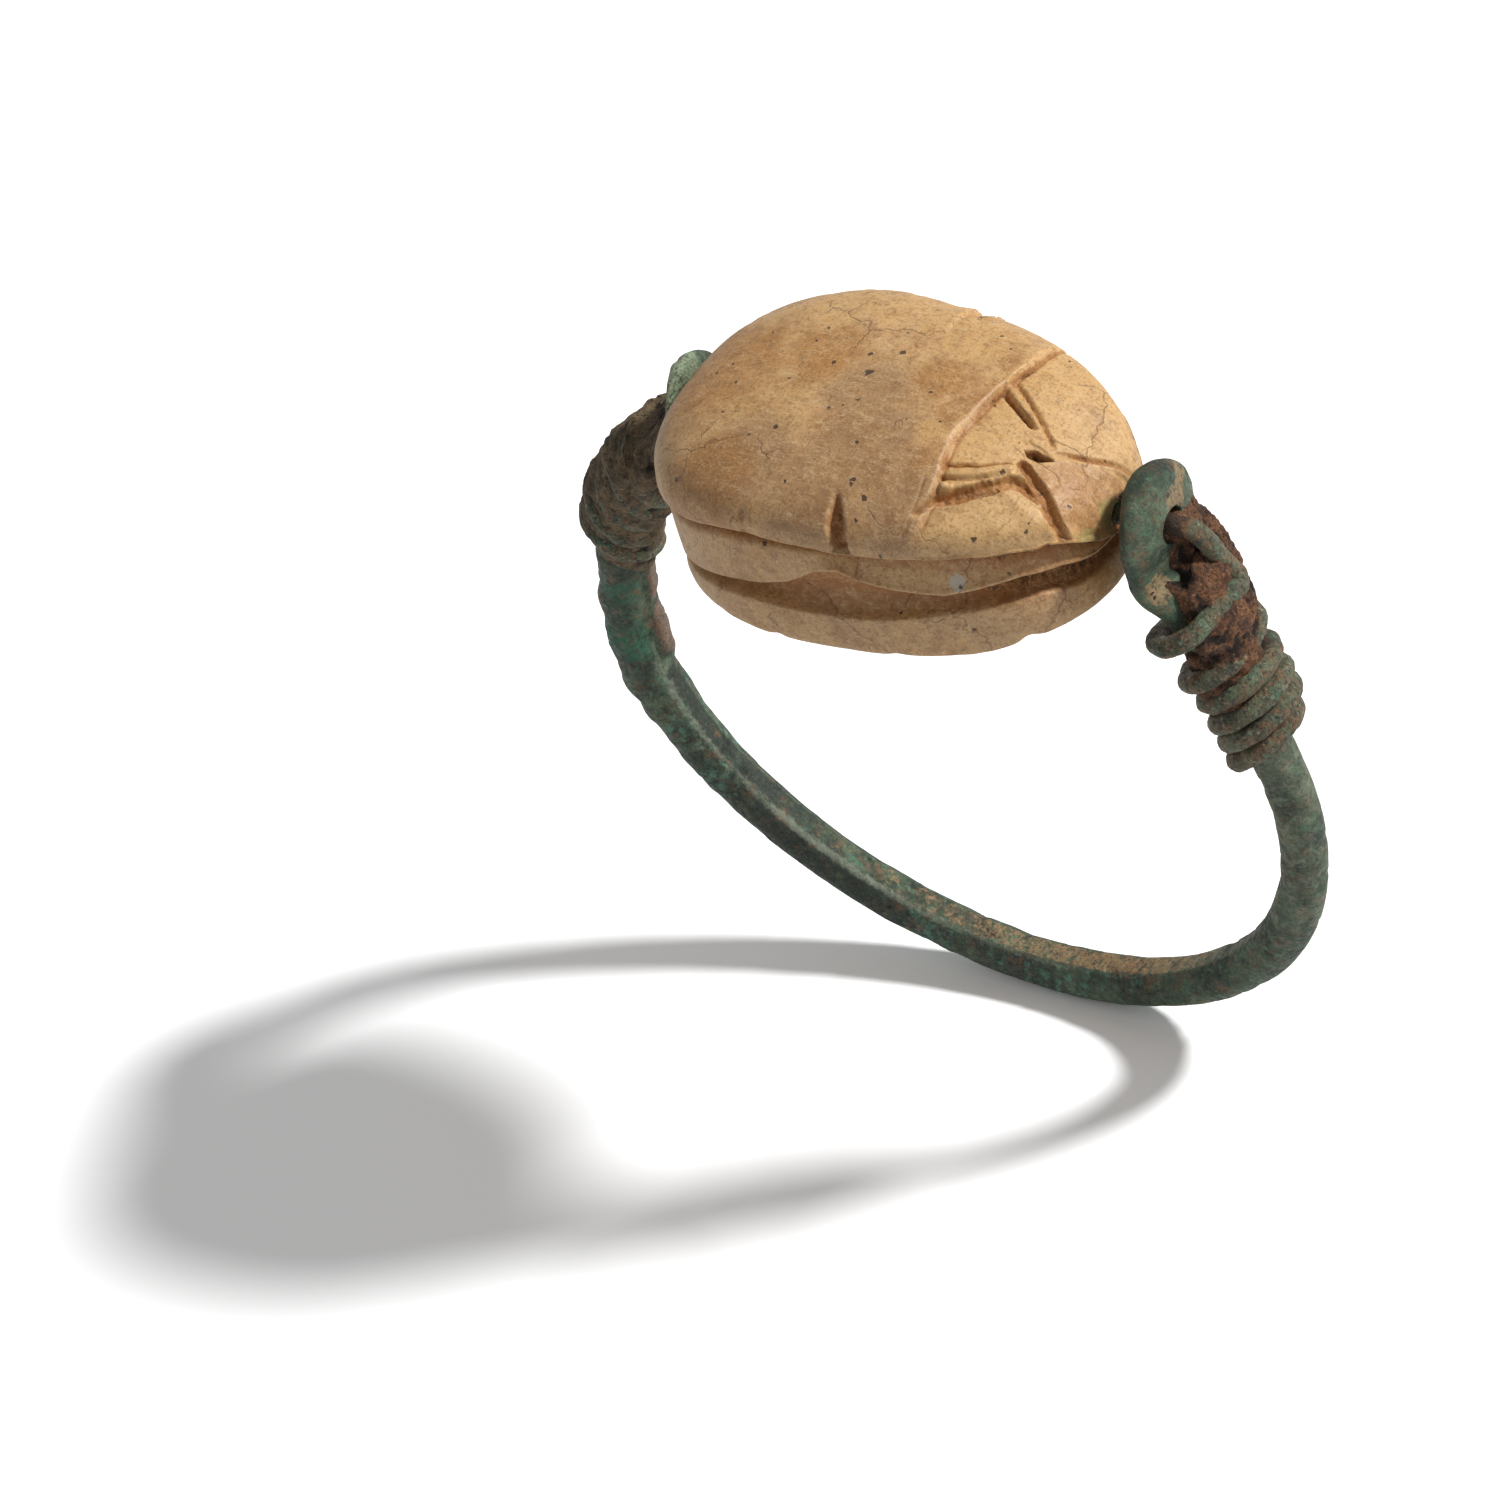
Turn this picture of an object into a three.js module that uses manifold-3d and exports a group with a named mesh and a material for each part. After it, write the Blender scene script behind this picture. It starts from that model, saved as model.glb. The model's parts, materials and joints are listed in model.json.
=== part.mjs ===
// Scarab swivel ring: a carved stone bead that turns on a wire between the ends of an open metal hoop.
// Millimetres, +Z up. The hoop stands in the XZ plane, +X runs along the swivel axis to the scarab's head,
// and the origin is under the middle of the ring, at its lowest point.
import * as THREE from "three";
import { mergeVertices } from "three/addons/utils/BufferGeometryUtils.js";
import Module from "manifold-3d";

const wasm = await Module();
wasm.setup();

// Hoop: one bent rod. Its radius departs a little from a circle, in two and in three waves.
const hoopRadius = 12.77;
const hoopWaveShares = { twoCos: -0.013, twoSin: 0.01, threeCos: -0.016, threeSin: -0.013 };
const rodDiameter = 1.52;
const hoopStartDegrees = 184;
const hoopEndDegrees = 356;
const boreAboveHoopCentre = 11.15;
const arcPoints = 15;
const footDropShare = 0.85;

// Shank centre lines: [share of the way out from the disc to hoopRadius, share of boreAboveHoopCentre].
const leftShankShares = [
  [0.95, 0.14],
  [0.8145, 0.416],
  [0.655, 0.603],
];
const rightShankShares = [
  [0.741, 0.1],
  [0.548, 0.36],
  [0.3916, 0.552],
];

// Terminals: the rod's ends, hammered into round pierced discs.
const leftDisc = {
  x: -6.85,
  radius: 2.1,
  wideShare: 0.78,
  thickness: 0.85,
  neck: 2.6,
  footShare: 0.4,
  shoulderOut: 2.43,
  shoulderDrop: 2.79,
};
const rightDisc = {
  x: 10.65,
  radius: 2.05,
  wideShare: 1,
  thickness: 1.15,
  neck: 3.6,
  footShare: -0.06,
  shoulderOut: 0.46,
  shoulderDrop: 2.56,
};
const discHoleDiameter = 1.3;
const rimRoundShare = 0.3;

// Wire: axle through discs and bead, then wound round each shank.
const wireDiameter = 0.53;
const wireEndGap = 0.3;
const windingClearance = 0.04;
const leadOutShare = 1.15;
const leadAboveShare = 2;
const leadBendShare = 0.5;
const leadClearance = 0.12;
const rightWinding = { fromTop: 4.6, turns: 6, firstPitch: 1.75, pitch: 1.04 };
const leftWinding = { fromTop: 4.8, turns: 5, firstPitch: 1.3, pitch: 1.21 };

// Scarab: a domed bead over a leg ridge and a flat oval base. Heights count from the swivel axis.
const scarabTailX = -6.3;
const scarabOffBore = -0.25;
const scarabHeadX = 9.7;
const scarabWidth = 10.9;
const domeTop = 3.55;
const domeEdge = 1.65;
const domeInset = 0.3;
const ridgeHeight = 0.3;
const plateTop = -1.05;
const baseBottom = -2.62;
const edgeDroop = 1.1;
const droopPower = 4;
const baseHeadInset = 0.8;
const outlinePower = 2.35;
const domePower = 2.5;
const headTaperShare = 0.12;
const domeCrestShare = -0.08;
const scarabBoreDiameter = 1.7;
const grooveDepth = 0.6;
const lowerGrooveDepth = 0.65;
const ridgeInset = 0.2;
const baseRoundShare = 0.05;
const plateRowShares = [0.22, 0.6];
const lowerGrooveShares = [0.35, 0.6];
const grooveShares = [0.25, 0.75];
const domeRows = 16;

// Carving of the head end: x places are shares of the scarab's half length from its middle.
const collarShare = 0.43;
const collarDepth = 0.34;
const notchShare = 0.07;
const notchWidth = 0.8;
const notchHeight = 2.1;
const notchDepth = 0.75;
const notchLeanDegrees = 36;
const notchDrop = 0.2;
const headGrooveWidth = 0.5;
const headGrooveDepth = 0.55;
const headGrooveShares = [
  [0.44, 0.36, 0.66, 0.12],
  [0.66, 0.12, 0.9, 0.3],
];

// How finely round things are cut.
const rodSides = 14;
const hoopSteps = 64;
const terminalSteps = 11;
const firstRingShare = 0.35;
const terminalCrowding = 1.5;
const turnSteps = 24;
const wireSides = 6;
const scarabSides = 72;
const holeSides = 20;
const cutOverrun = 1;
const lengthDivisions = 1200;
const weldDistance = 0.00005;

const rodRadius = rodDiameter / 2;
const wireRadius = wireDiameter / 2;
const scarabHalfLength = (scarabHeadX - scarabTailX) / 2;
const scarabMiddleX = (scarabHeadX + scarabTailX) / 2;
const scarabHalfWidth = scarabWidth / 2;

const stone = new THREE.MeshStandardMaterial({ color: 0xc39b62, roughness: 0.55, metalness: 0 });
const patina = new THREE.MeshStandardMaterial({ color: 0x3d4f40, roughness: 0.7, metalness: 0.35 });
const wireMetal = new THREE.MeshStandardMaterial({ color: 0x4c5a46, roughness: 0.8, metalness: 0.3 });

const radians = THREE.MathUtils.degToRad;
const signedPower = (value, power) => Math.sign(value) * Math.abs(value) ** power;

// Eases from 0 to 1 as the value goes from 0 to 1.
const ease = (value) => THREE.MathUtils.smoothstep(value, 0, 1);

// A closed skin through rings of equal count, with a fan over each end.
function skinOf(rings) {
  const count = rings[0].length;
  const points = rings.flat();
  const faces = [];
  for (let ring = 0; ring + 1 < rings.length; ring++) {
    for (let side = 0; side < count; side++) {
      const next = (side + 1) % count;
      const a = ring * count + side;
      const b = ring * count + next;
      faces.push(a, b, a + count, b, b + count, a + count);
    }
  }
  for (const [ring, flip] of [[0, true], [rings.length - 1, false]]) {
    const middle = points.length;
    points.push(
      rings[ring].reduce((sum, p) => sum.add(p), new THREE.Vector3()).divideScalar(count),
    );
    for (let side = 0; side < count; side++) {
      const a = ring * count + side;
      const b = ring * count + ((side + 1) % count);
      faces.push(...(flip ? [b, a, middle] : [a, b, middle]));
    }
  }
  const geometry = new THREE.BufferGeometry().setFromPoints(points);
  geometry.setIndex(faces);
  return geometry;
}

function solidOf(geometry) {
  const bare = geometry.clone();
  bare.deleteAttribute("normal");
  bare.deleteAttribute("uv");
  const merged = mergeVertices(bare, weldDistance);
  return new wasm.Manifold(
    new wasm.Mesh({
      numProp: 3,
      vertProperties: new Float32Array(merged.attributes.position.array),
      triVerts: new Uint32Array(merged.index.array),
    }),
  );
}

function geometryOf(solid) {
  const mesh = solid.getMesh();
  const geometry = new THREE.BufferGeometry();
  geometry.setAttribute("position", new THREE.BufferAttribute(mesh.vertProperties, 3));
  geometry.setIndex(new THREE.BufferAttribute(mesh.triVerts, 1));
  const flat = geometry.toNonIndexed();
  flat.computeVertexNormals();
  return flat;
}

// A bar along X through the swivel axis, for holes and for the axle.
function axisBar(fromX, toX, diameter, sides) {
  const bar = new THREE.CylinderGeometry(diameter / 2, diameter / 2, toX - fromX, sides);
  bar.rotateZ(Math.PI / 2);
  bar.translate((fromX + toX) / 2, 0, boreAboveHoopCentre);
  return bar;
}

function hoopPoint(angle) {
  const { twoCos, twoSin, threeCos, threeSin } = hoopWaveShares;
  const waves =
    twoCos * Math.cos(2 * angle) +
    twoSin * Math.sin(2 * angle) +
    threeCos * Math.cos(3 * angle) +
    threeSin * Math.sin(3 * angle);
  const radius = hoopRadius * (1 + waves);
  return new THREE.Vector3(radius * Math.cos(angle), 0, radius * Math.sin(angle));
}

// Points of one terminal from its top down past its foot to the shoulder, where the shank begins.
function terminalPoints(disc) {
  const side = Math.sign(disc.x);
  const out = side * disc.footShare * disc.radius;
  return [
    new THREE.Vector3(disc.x, 0, boreAboveHoopCentre + disc.radius),
    new THREE.Vector3(disc.x, 0, boreAboveHoopCentre),
    new THREE.Vector3(disc.x + out, 0, boreAboveHoopCentre - disc.radius * footDropShare),
    new THREE.Vector3(disc.x + side * disc.shoulderOut, 0, boreAboveHoopCentre - disc.shoulderDrop),
  ];
}

function shankPoints(disc, shares) {
  const rim = Math.sign(disc.x) * hoopRadius;
  return shares.map(
    ([out, up]) =>
      new THREE.Vector3(THREE.MathUtils.lerp(disc.x, rim, out), 0, up * boreAboveHoopCentre),
  );
}

// The rod's centre line, from the left disc's top round the hoop to the right disc's top.
function rodCentreLine() {
  const arc = [];
  for (let i = 0; i < arcPoints; i++) {
    const share = i / (arcPoints - 1);
    arc.push(hoopPoint(radians(THREE.MathUtils.lerp(hoopStartDegrees, hoopEndDegrees, share))));
  }
  const points = [
    ...terminalPoints(leftDisc),
    ...shankPoints(leftDisc, leftShankShares).reverse(),
    ...arc,
    ...shankPoints(rightDisc, rightShankShares),
    ...terminalPoints(rightDisc).reverse(),
  ];
  const curve = new THREE.CatmullRomCurve3(points, false, "centripetal");
  curve.arcLengthDivisions = lengthDivisions;
  return curve;
}

const rodLine = rodCentreLine();
const rodLength = rodLine.getLength();

// Half width along Y and half thickness of the rod at a distance from one of its ends.
function rodHalfSizes(fromEnd, disc) {
  const neckShare = ease((fromEnd - disc.radius) / (disc.neck + disc.radius));
  const before = Math.min(fromEnd, disc.radius);
  const round = Math.sqrt(disc.radius ** 2 - (disc.radius - before) ** 2);
  const rim = Math.min(1, fromEnd / (rimRoundShare * disc.thickness));
  const edge = Math.sqrt(1 - (1 - rim) ** 2);
  return {
    wide: THREE.MathUtils.lerp(round * disc.wideShare, rodRadius, neckShare),
    thick: THREE.MathUtils.lerp((disc.thickness / 2) * edge, rodRadius, neckShare),
  };
}

// The rod's centre, its outward direction away from the finger and its sizes at a distance along it.
function rodStation(distance) {
  const onLeft = distance < rodLength / 2;
  const disc = onLeft ? leftDisc : rightDisc;
  const share = THREE.MathUtils.clamp(distance / rodLength, 0, 1);
  const centre = rodLine.getPointAt(share);
  const along = rodLine.getTangentAt(share);
  const outward = new THREE.Vector3(along.z, 0, -along.x);
  return { centre, outward, ...rodHalfSizes(onLeft ? distance : rodLength - distance, disc) };
}

function rodRing(distance) {
  const { centre, outward, wide, thick } = rodStation(distance);
  const ring = [];
  for (let side = 0; side < rodSides; side++) {
    const angle = (2 * Math.PI * side) / rodSides;
    const point = centre.clone().addScaledVector(outward, thick * Math.cos(angle));
    point.y = wide * Math.sin(angle);
    ring.push(point);
  }
  return ring;
}

// Distances along the rod where it has a ring: close together at the terminals, even between them.
function rodDistances() {
  const terminalEnd = (disc) => 2 * disc.radius + disc.neck;
  const left = [];
  const right = [];
  for (let i = 0; i < terminalSteps; i++) {
    const share = ((i + firstRingShare) / terminalSteps) ** terminalCrowding;
    left.push(share * terminalEnd(leftDisc));
    right.unshift(rodLength - share * terminalEnd(rightDisc));
  }
  const middle = [];
  for (let i = 0; i <= hoopSteps; i++) {
    middle.push(
      THREE.MathUtils.lerp(
        terminalEnd(leftDisc),
        rodLength - terminalEnd(rightDisc),
        i / hoopSteps,
      ),
    );
  }
  return [...left, ...middle, ...right];
}

// Hoop with its two terminals, each pierced on the swivel axis.
function makeHoop() {
  let hoop = solidOf(skinOf(rodDistances().map(rodRing)));
  for (const disc of [leftDisc, rightDisc]) {
    const reach = disc.thickness / 2 + cutOverrun;
    const hole = axisBar(disc.x - reach, disc.x + reach, discHoleDiameter, holeSides);
    hoop = hoop.subtract(solidOf(hole));
  }
  return geometryOf(hoop);
}

// Route of one winding: out of its disc, down the shank's outer side, then round the shank.
function windingRoute(disc, winding) {
  const side = Math.sign(disc.x);
  const alongAt = (fromEnd) => (side < 0 ? fromEnd : rodLength - fromEnd);
  const points = [];
  const steps = winding.turns * turnSteps;
  for (let i = 0; i <= steps; i++) {
    const turn = i / turnSteps;
    const first = Math.min(turn, 1) * winding.firstPitch;
    const rest = Math.max(turn - 1, 0) * winding.pitch;
    const station = rodStation(alongAt(winding.fromTop + first + rest));
    const { centre, outward, wide, thick } = station;
    const angle = 2 * Math.PI * turn;
    const square = new THREE.Vector2(wide * Math.cos(angle), thick * Math.sin(angle));
    square.setLength(wireRadius + windingClearance);
    const point = centre.clone().addScaledVector(outward, thick * Math.cos(angle) + square.x);
    point.y = -(wide * Math.sin(angle) + square.y);
    points.push(point);
  }
  const faceX = disc.x + side * (disc.thickness / 2);
  const straight = side * wireDiameter * leadOutShare;
  const start = new THREE.Vector3(faceX + side * wireEndGap, 0, boreAboveHoopCentre);
  const out = start.clone().setX(start.x + straight);
  const top = rodStation(alongAt(winding.fromTop - wireDiameter * leadAboveShare));
  const reach = top.thick + wireRadius + leadClearance;
  const above = top.centre.clone().addScaledVector(top.outward, reach);
  above.y = wireRadius / 2;
  const bend = out.clone().lerp(above, leadBendShare);
  bend.x += side * wireRadius;
  const lead = new THREE.CatmullRomCurve3([out, bend, above, points[0]], false, "centripetal");
  const leadPoints = [start, ...lead.getPoints(turnSteps / 2).slice(0, -1)];
  const last = points[points.length - 1];
  const before = points[points.length - 2];
  const tail = last.clone().add(last.clone().sub(before).setLength(wireDiameter));
  return [...leadPoints, ...points, tail];
}

// A round wire along points, joined ring to ring. The first ring is square to X.
function wireAlong(points, side) {
  const rings = [];
  const along = new THREE.Vector3();
  let up = new THREE.Vector3(0, 0, 1);
  for (let i = 0; i < points.length; i++) {
    const before = points[Math.max(i - 1, 0)];
    const after = points[Math.min(i + 1, points.length - 1)];
    if (i === 0) along.set(side, 0, 0);
    else along.subVectors(after, before).normalize();
    up = up.clone().addScaledVector(along, -up.dot(along)).normalize();
    const across = new THREE.Vector3().crossVectors(along, up);
    const ring = [];
    for (let k = 0; k < wireSides; k++) {
      const angle = (2 * Math.PI * k) / wireSides;
      ring.push(
        points[i]
          .clone()
          .addScaledVector(up, wireRadius * Math.cos(angle))
          .addScaledVector(across, wireRadius * Math.sin(angle)),
      );
    }
    rings.push(ring);
  }
  return skinOf(rings);
}

// The least clear distance between parts of the wire that lie more than half a turn apart along it.
function leastSelfGap(points) {
  const halfTurn = (rodRadius + wireRadius) * Math.PI;
  const run = [0];
  for (let i = 1; i < points.length; i++) run.push(run[i - 1] + points[i].distanceTo(points[i - 1]));
  let least = Infinity;
  for (let i = 0; i < points.length; i++) {
    for (let j = i + 1; j < points.length; j++) {
      if (run[j] - run[i] > halfTurn) least = Math.min(least, points[i].distanceTo(points[j]));
    }
  }
  return least - wireDiameter;
}

function makeWinding(name, disc, winding) {
  const route = windingRoute(disc, winding);
  console.log(`${name}: least gap of the wire to itself ${leastSelfGap(route).toFixed(2)} mm`);
  return wireAlong(route, Math.sign(disc.x));
}

function makeAxle() {
  return axisBar(
    leftDisc.x - leftDisc.thickness / 2,
    rightDisc.x + rightDisc.thickness / 2,
    wireDiameter,
    holeSides / 2,
  );
}

// Rows of the scarab's skin from base to crown. A row's height droops towards both ends of the scarab.
function scarabRows() {
  const { lerp } = THREE.MathUtils;
  const [plateLow, plateHigh] = plateRowShares;
  const base = { inset: 0, droop: 0, crest: 0, headInset: baseHeadInset };
  const plate = (up) => ({ ...base, share: 1, height: lerp(baseBottom, plateTop, up), droop: up });
  const groove = (low, high, inset) => (up) => {
    return { share: 1, inset, height: lerp(low, high, up), droop: 1, crest: 0, headInset: 0 };
  };
  const rows = [
    { ...base, share: 1 - baseRoundShare * 2, height: baseBottom },
    { ...plate(plateLow), share: 1 - baseRoundShare / 2 },
    plate(plateHigh),
    plate(1),
    ...lowerGrooveShares.map(groove(plateTop, ridgeHeight, lowerGrooveDepth)),
    groove(plateTop, ridgeHeight, ridgeInset)(1),
    ...grooveShares.map(groove(ridgeHeight, domeEdge, grooveDepth)),
  ];
  for (let i = 0; i < domeRows; i++) {
    const angle = (Math.PI / 2) * (i / domeRows);
    const share = Math.cos(angle) ** (2 / domePower);
    const rise = Math.sin(angle) ** (2 / domePower);
    const height = lerp(domeEdge, domeTop, rise);
    const crest = domeCrestShare * (1 - share);
    rows.push({ share, inset: domeInset, height, droop: 1 - rise, crest, headInset: 0 });
  }
  return rows;
}

// Each row follows the same oval, which narrows towards the head.
function makeScarabBody() {
  const rings = scarabRows().map(({ share, inset, height, droop, crest, headInset }) => {
    const ring = [];
    for (let side = 0; side < scarabSides; side++) {
      const angle = (2 * Math.PI * side) / scarabSides;
      const along = signedPower(Math.cos(angle), 2 / outlinePower);
      const across = signedPower(Math.sin(angle), 2 / outlinePower) * (1 - headTaperShare * along);
      const shorter = headInset * Math.max(along, 0) ** 2;
      ring.push(
        new THREE.Vector3(
          scarabMiddleX + (scarabHalfLength - inset) * (along * share + crest) - shorter,
          scarabOffBore + (scarabHalfWidth - inset) * across * share,
          boreAboveHoopCentre + height - edgeDroop * droop * along ** droopPower,
        ),
      );
    }
    return ring;
  });
  return skinOf(rings);
}

// A straight groove with a V section between two plan places on the dome's front.
function headGroove([fromAlong, fromAcross, toAlong, toAcross], side) {
  const place = (along, across) =>
    new THREE.Vector3(
      scarabMiddleX + along * scarabHalfLength,
      scarabOffBore + side * across * scarabHalfWidth,
      boreAboveHoopCentre + domeSurface(along, across) - headGrooveDepth,
    );
  const from = place(fromAlong, fromAcross);
  const to = place(toAlong, toAcross);
  const section = new THREE.Shape();
  section.moveTo(0, 0);
  section.lineTo(headGrooveWidth, headGrooveDepth * 2);
  section.lineTo(-headGrooveWidth, headGrooveDepth * 2);
  const length = from.distanceTo(to);
  const cutter = new THREE.ExtrudeGeometry(section, { depth: length, bevelEnabled: false });
  const along = to.clone().sub(from).normalize();
  const across = new THREE.Vector3().crossVectors(new THREE.Vector3(0, 0, 1), along).normalize();
  const up = new THREE.Vector3().crossVectors(along, across);
  cutter.applyMatrix4(new THREE.Matrix4().makeBasis(across, up, along).setPosition(from));
  return solidOf(cutter);
}

// Height of the dome over the swivel axis at shares of the half length and half width.
function domeSurface(along, across) {
  const reach = (Math.abs(along) ** outlinePower + Math.abs(across) ** outlinePower) ** (1 / outlinePower);
  const rise = Math.max(0, 1 - reach ** domePower) ** (1 / domePower);
  return THREE.MathUtils.lerp(domeEdge - edgeDroop * along ** droopPower, domeTop, rise);
}

// The front of the dome, lowered by a step where the collar ends.
function collarCut(body) {
  const from = scarabMiddleX + collarShare * scarabHalfLength;
  const depth = scarabHeadX + cutOverrun - from;
  const lowest = domeEdge - edgeDroop - collarDepth;
  const blockHeight = domeTop + cutOverrun - lowest;
  const block = new THREE.BoxGeometry(depth, scarabWidth + cutOverrun, blockHeight);
  const middleHeight = lowest + blockHeight / 2;
  block.translate(from + depth / 2, 0, boreAboveHoopCentre + middleHeight);
  return solidOf(block).subtract(body.translate([0, 0, -collarDepth]));
}

// A V notch in the dome's side edge, on each side of the scarab.
function notchCut(side) {
  const section = new THREE.Shape();
  section.moveTo(-notchWidth / 2, 0);
  section.lineTo(notchWidth / 2, 0);
  section.lineTo(0, notchHeight);
  const depth = notchDepth + cutOverrun;
  const wedge = new THREE.ExtrudeGeometry(section, { depth, bevelEnabled: false });
  wedge.rotateX(Math.PI / 2);
  const lean = new THREE.Matrix4().makeRotationX(side * radians(notchLeanDegrees));
  wedge.translate(0, side > 0 ? depth : 0, 0);
  wedge.applyMatrix4(lean);
  wedge.translate(
    scarabMiddleX + notchShare * scarabHalfLength,
    scarabOffBore + side * (scarabHalfWidth - notchDepth),
    boreAboveHoopCentre + domeEdge - notchDrop,
  );
  return solidOf(wedge);
}

function makeScarab() {
  let body = solidOf(makeScarabBody());
  body = body.subtract(collarCut(body));
  for (const side of [-1, 1]) {
    body = body.subtract(notchCut(side));
    for (const shares of headGrooveShares) body = body.subtract(headGroove(shares, side));
  }
  const bore = axisBar(
    scarabTailX - cutOverrun,
    scarabHeadX + cutOverrun,
    scarabBoreDiameter,
    holeSides,
  );
  return geometryOf(body.subtract(solidOf(bore)));
}

function named(name, geometry, material) {
  const mesh = new THREE.Mesh(geometry, material);
  mesh.name = name;
  return mesh;
}

const standing = new THREE.Group();
standing.add(named("hoop", makeHoop(), patina));
standing.add(named("wire_axle", makeAxle(), wireMetal));
standing.add(named("right_winding", makeWinding("right winding", rightDisc, rightWinding), wireMetal));
standing.add(named("left_winding", makeWinding("left winding", leftDisc, leftWinding), wireMetal));

// The scarab is its own group, turning about the swivel axis.
const scarab = new THREE.Group();
scarab.add(named("scarab", makeScarab(), stone));
standing.add(scarab);

// The ring stands on its lowest point, over the middle of its box.
const box = new THREE.Box3().setFromObject(standing);
standing.position.set(-(box.min.x + box.max.x) / 2, -(box.min.y + box.max.y) / 2, -box.min.z);

const ring = new THREE.Group();
ring.add(standing);

export default ring;
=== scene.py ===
# Scarab swivel ring: carved steatite bead on a bound copper-alloy hoop, dug up and worn.
# Lengths are millimetres in the ring's own frame: x along the swivel axis to the scarab's head,
# z up, and z = 0 at the hoop's centre. They become metres when a mesh is made.
import json
import math
import bpy
import numpy as np
from mathutils import Matrix, Vector


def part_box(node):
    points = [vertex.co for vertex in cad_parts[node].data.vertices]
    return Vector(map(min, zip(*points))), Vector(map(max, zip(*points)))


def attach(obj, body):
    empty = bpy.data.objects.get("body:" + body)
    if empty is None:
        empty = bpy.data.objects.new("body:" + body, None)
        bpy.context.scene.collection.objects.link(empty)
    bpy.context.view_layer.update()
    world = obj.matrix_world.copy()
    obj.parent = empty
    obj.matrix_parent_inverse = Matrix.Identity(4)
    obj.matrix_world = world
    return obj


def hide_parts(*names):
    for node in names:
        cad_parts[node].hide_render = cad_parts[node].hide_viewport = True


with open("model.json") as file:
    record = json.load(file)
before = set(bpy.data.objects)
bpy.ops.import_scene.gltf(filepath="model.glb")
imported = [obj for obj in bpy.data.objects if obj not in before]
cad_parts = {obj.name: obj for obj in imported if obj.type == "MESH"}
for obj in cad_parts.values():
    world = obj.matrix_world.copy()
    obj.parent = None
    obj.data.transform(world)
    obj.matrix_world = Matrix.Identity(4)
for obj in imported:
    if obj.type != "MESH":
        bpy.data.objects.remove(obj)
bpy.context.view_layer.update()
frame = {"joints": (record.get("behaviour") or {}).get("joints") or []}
print("frame loaded")

mm = 0.001
boreHeight = 11.15  # swivel axis over the hoop's centre
tailInRing = -6.3  # the scarab's tail along x
swivelPoint = frame["joints"][0]["pos_m"]
ringShift = np.array([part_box("scarab")[0].x / mm - tailInRing, swivelPoint[1] / mm,
                      swivelPoint[2] / mm - boreHeight])


# Numbers and fields

def smooth(low, high, value):  # 0 at low, 1 at high, an S curve between them
    share = np.clip((value - low) / (high - low), 0, 1)
    return share * share * (3 - 2 * share)


def mixed(first, second, share):  # straight blend of two values
    return first + (second - first) * share


def tableAt(table, x):
    places, values = np.array(table).T
    return np.interp(x, places, values)


noise = {
    "values": 4096,  # random values that the lattice's corners share
    "shift": 1000.37,  # in lattice steps, so that no lattice plane lies at 0
    "spread": (73856093, 19349663, 83492791),  # large odd numbers that scatter neighbouring corners
}


def latticeNoise(points, size, seed):  # random values on a cubic lattice of the given size, smoothly blended
    table = np.random.RandomState(seed).uniform(-1, 1, noise["values"])
    scaled = np.asarray(points) / size + noise["shift"]
    cell = np.floor(scaled).astype(np.int64)
    share = scaled - cell
    share = share * share * share * (share * (share * 6 - 15) + 10)
    total = 0
    for corner in range(8):
        step = np.array([corner & 1, corner >> 1 & 1, corner >> 2 & 1])
        scattered = (cell + step) * np.array(noise["spread"])
        key = np.bitwise_xor.reduce(scattered, axis=-1) % noise["values"]
        weight = np.prod(np.where(step == 1, share, 1 - share), axis=-1)
        total = total + weight * table[key]
    return total


def layeredNoise(points, size, layers, seed):  # lattice noises, each half as large and as high as the last
    total = 0
    for layer in range(layers):
        total = total + latticeNoise(points, size / 2 ** layer, seed + layer) / 2 ** layer
    return total


def summedNoise(points, parts):  # each part of the sum is (height, size, layers, seed)
    return sum(height * layeredNoise(points, size, layers, seed) for height, size, layers, seed in parts)


def nearPlaces(points, places):  # 1 close to any of the places (x, y, z, radius), 0 beyond its radius
    share = np.zeros(points.shape[:-1])
    for x, y, z, radius in places:
        away = np.linalg.norm(points - [x, y, z], axis=-1)
        share = np.maximum(share, smooth(radius, radius * 0.4, away))
    return share


def lineField(x, y, line):  # distance to a line in plan, and the share of its length at the nearest place
    line = np.array(line, float)
    lengths = np.hypot(*np.diff(line, axis=0).T)
    before = np.concatenate([[0], np.cumsum(lengths)])
    best = np.full(x.shape, 1e9)
    share = np.zeros(x.shape)
    for number in range(len(line) - 1):
        (ax, ay), (bx, by) = line[number], line[number + 1]
        run = np.clip(((x - ax) * (bx - ax) + (y - ay) * (by - ay)) / lengths[number] ** 2, 0, 1)
        away = np.hypot(x - ax - run * (bx - ax), y - ay - run * (by - ay))
        nearer = away < best
        best = np.where(nearer, away, best)
        share = np.where(nearer, (before[number] + run * lengths[number]) / before[-1], share)
    return best, share


def insideField(x, y, corners):  # distance inside a polygon in plan, negative outside it
    away, _ = lineField(x, y, list(corners) + [corners[0]])
    inside = np.zeros(x.shape, bool)
    corners = np.array(corners, float)
    for (ax, ay), (bx, by) in zip(corners, np.roll(corners, -1, axis=0)):
        crosses = (ay > y) != (by > y)
        rise = by - ay if by != ay else 1e-9
        inside ^= crosses & (x < ax + (y - ay) / rise * (bx - ax))
    return np.where(inside, away, -away)


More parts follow.
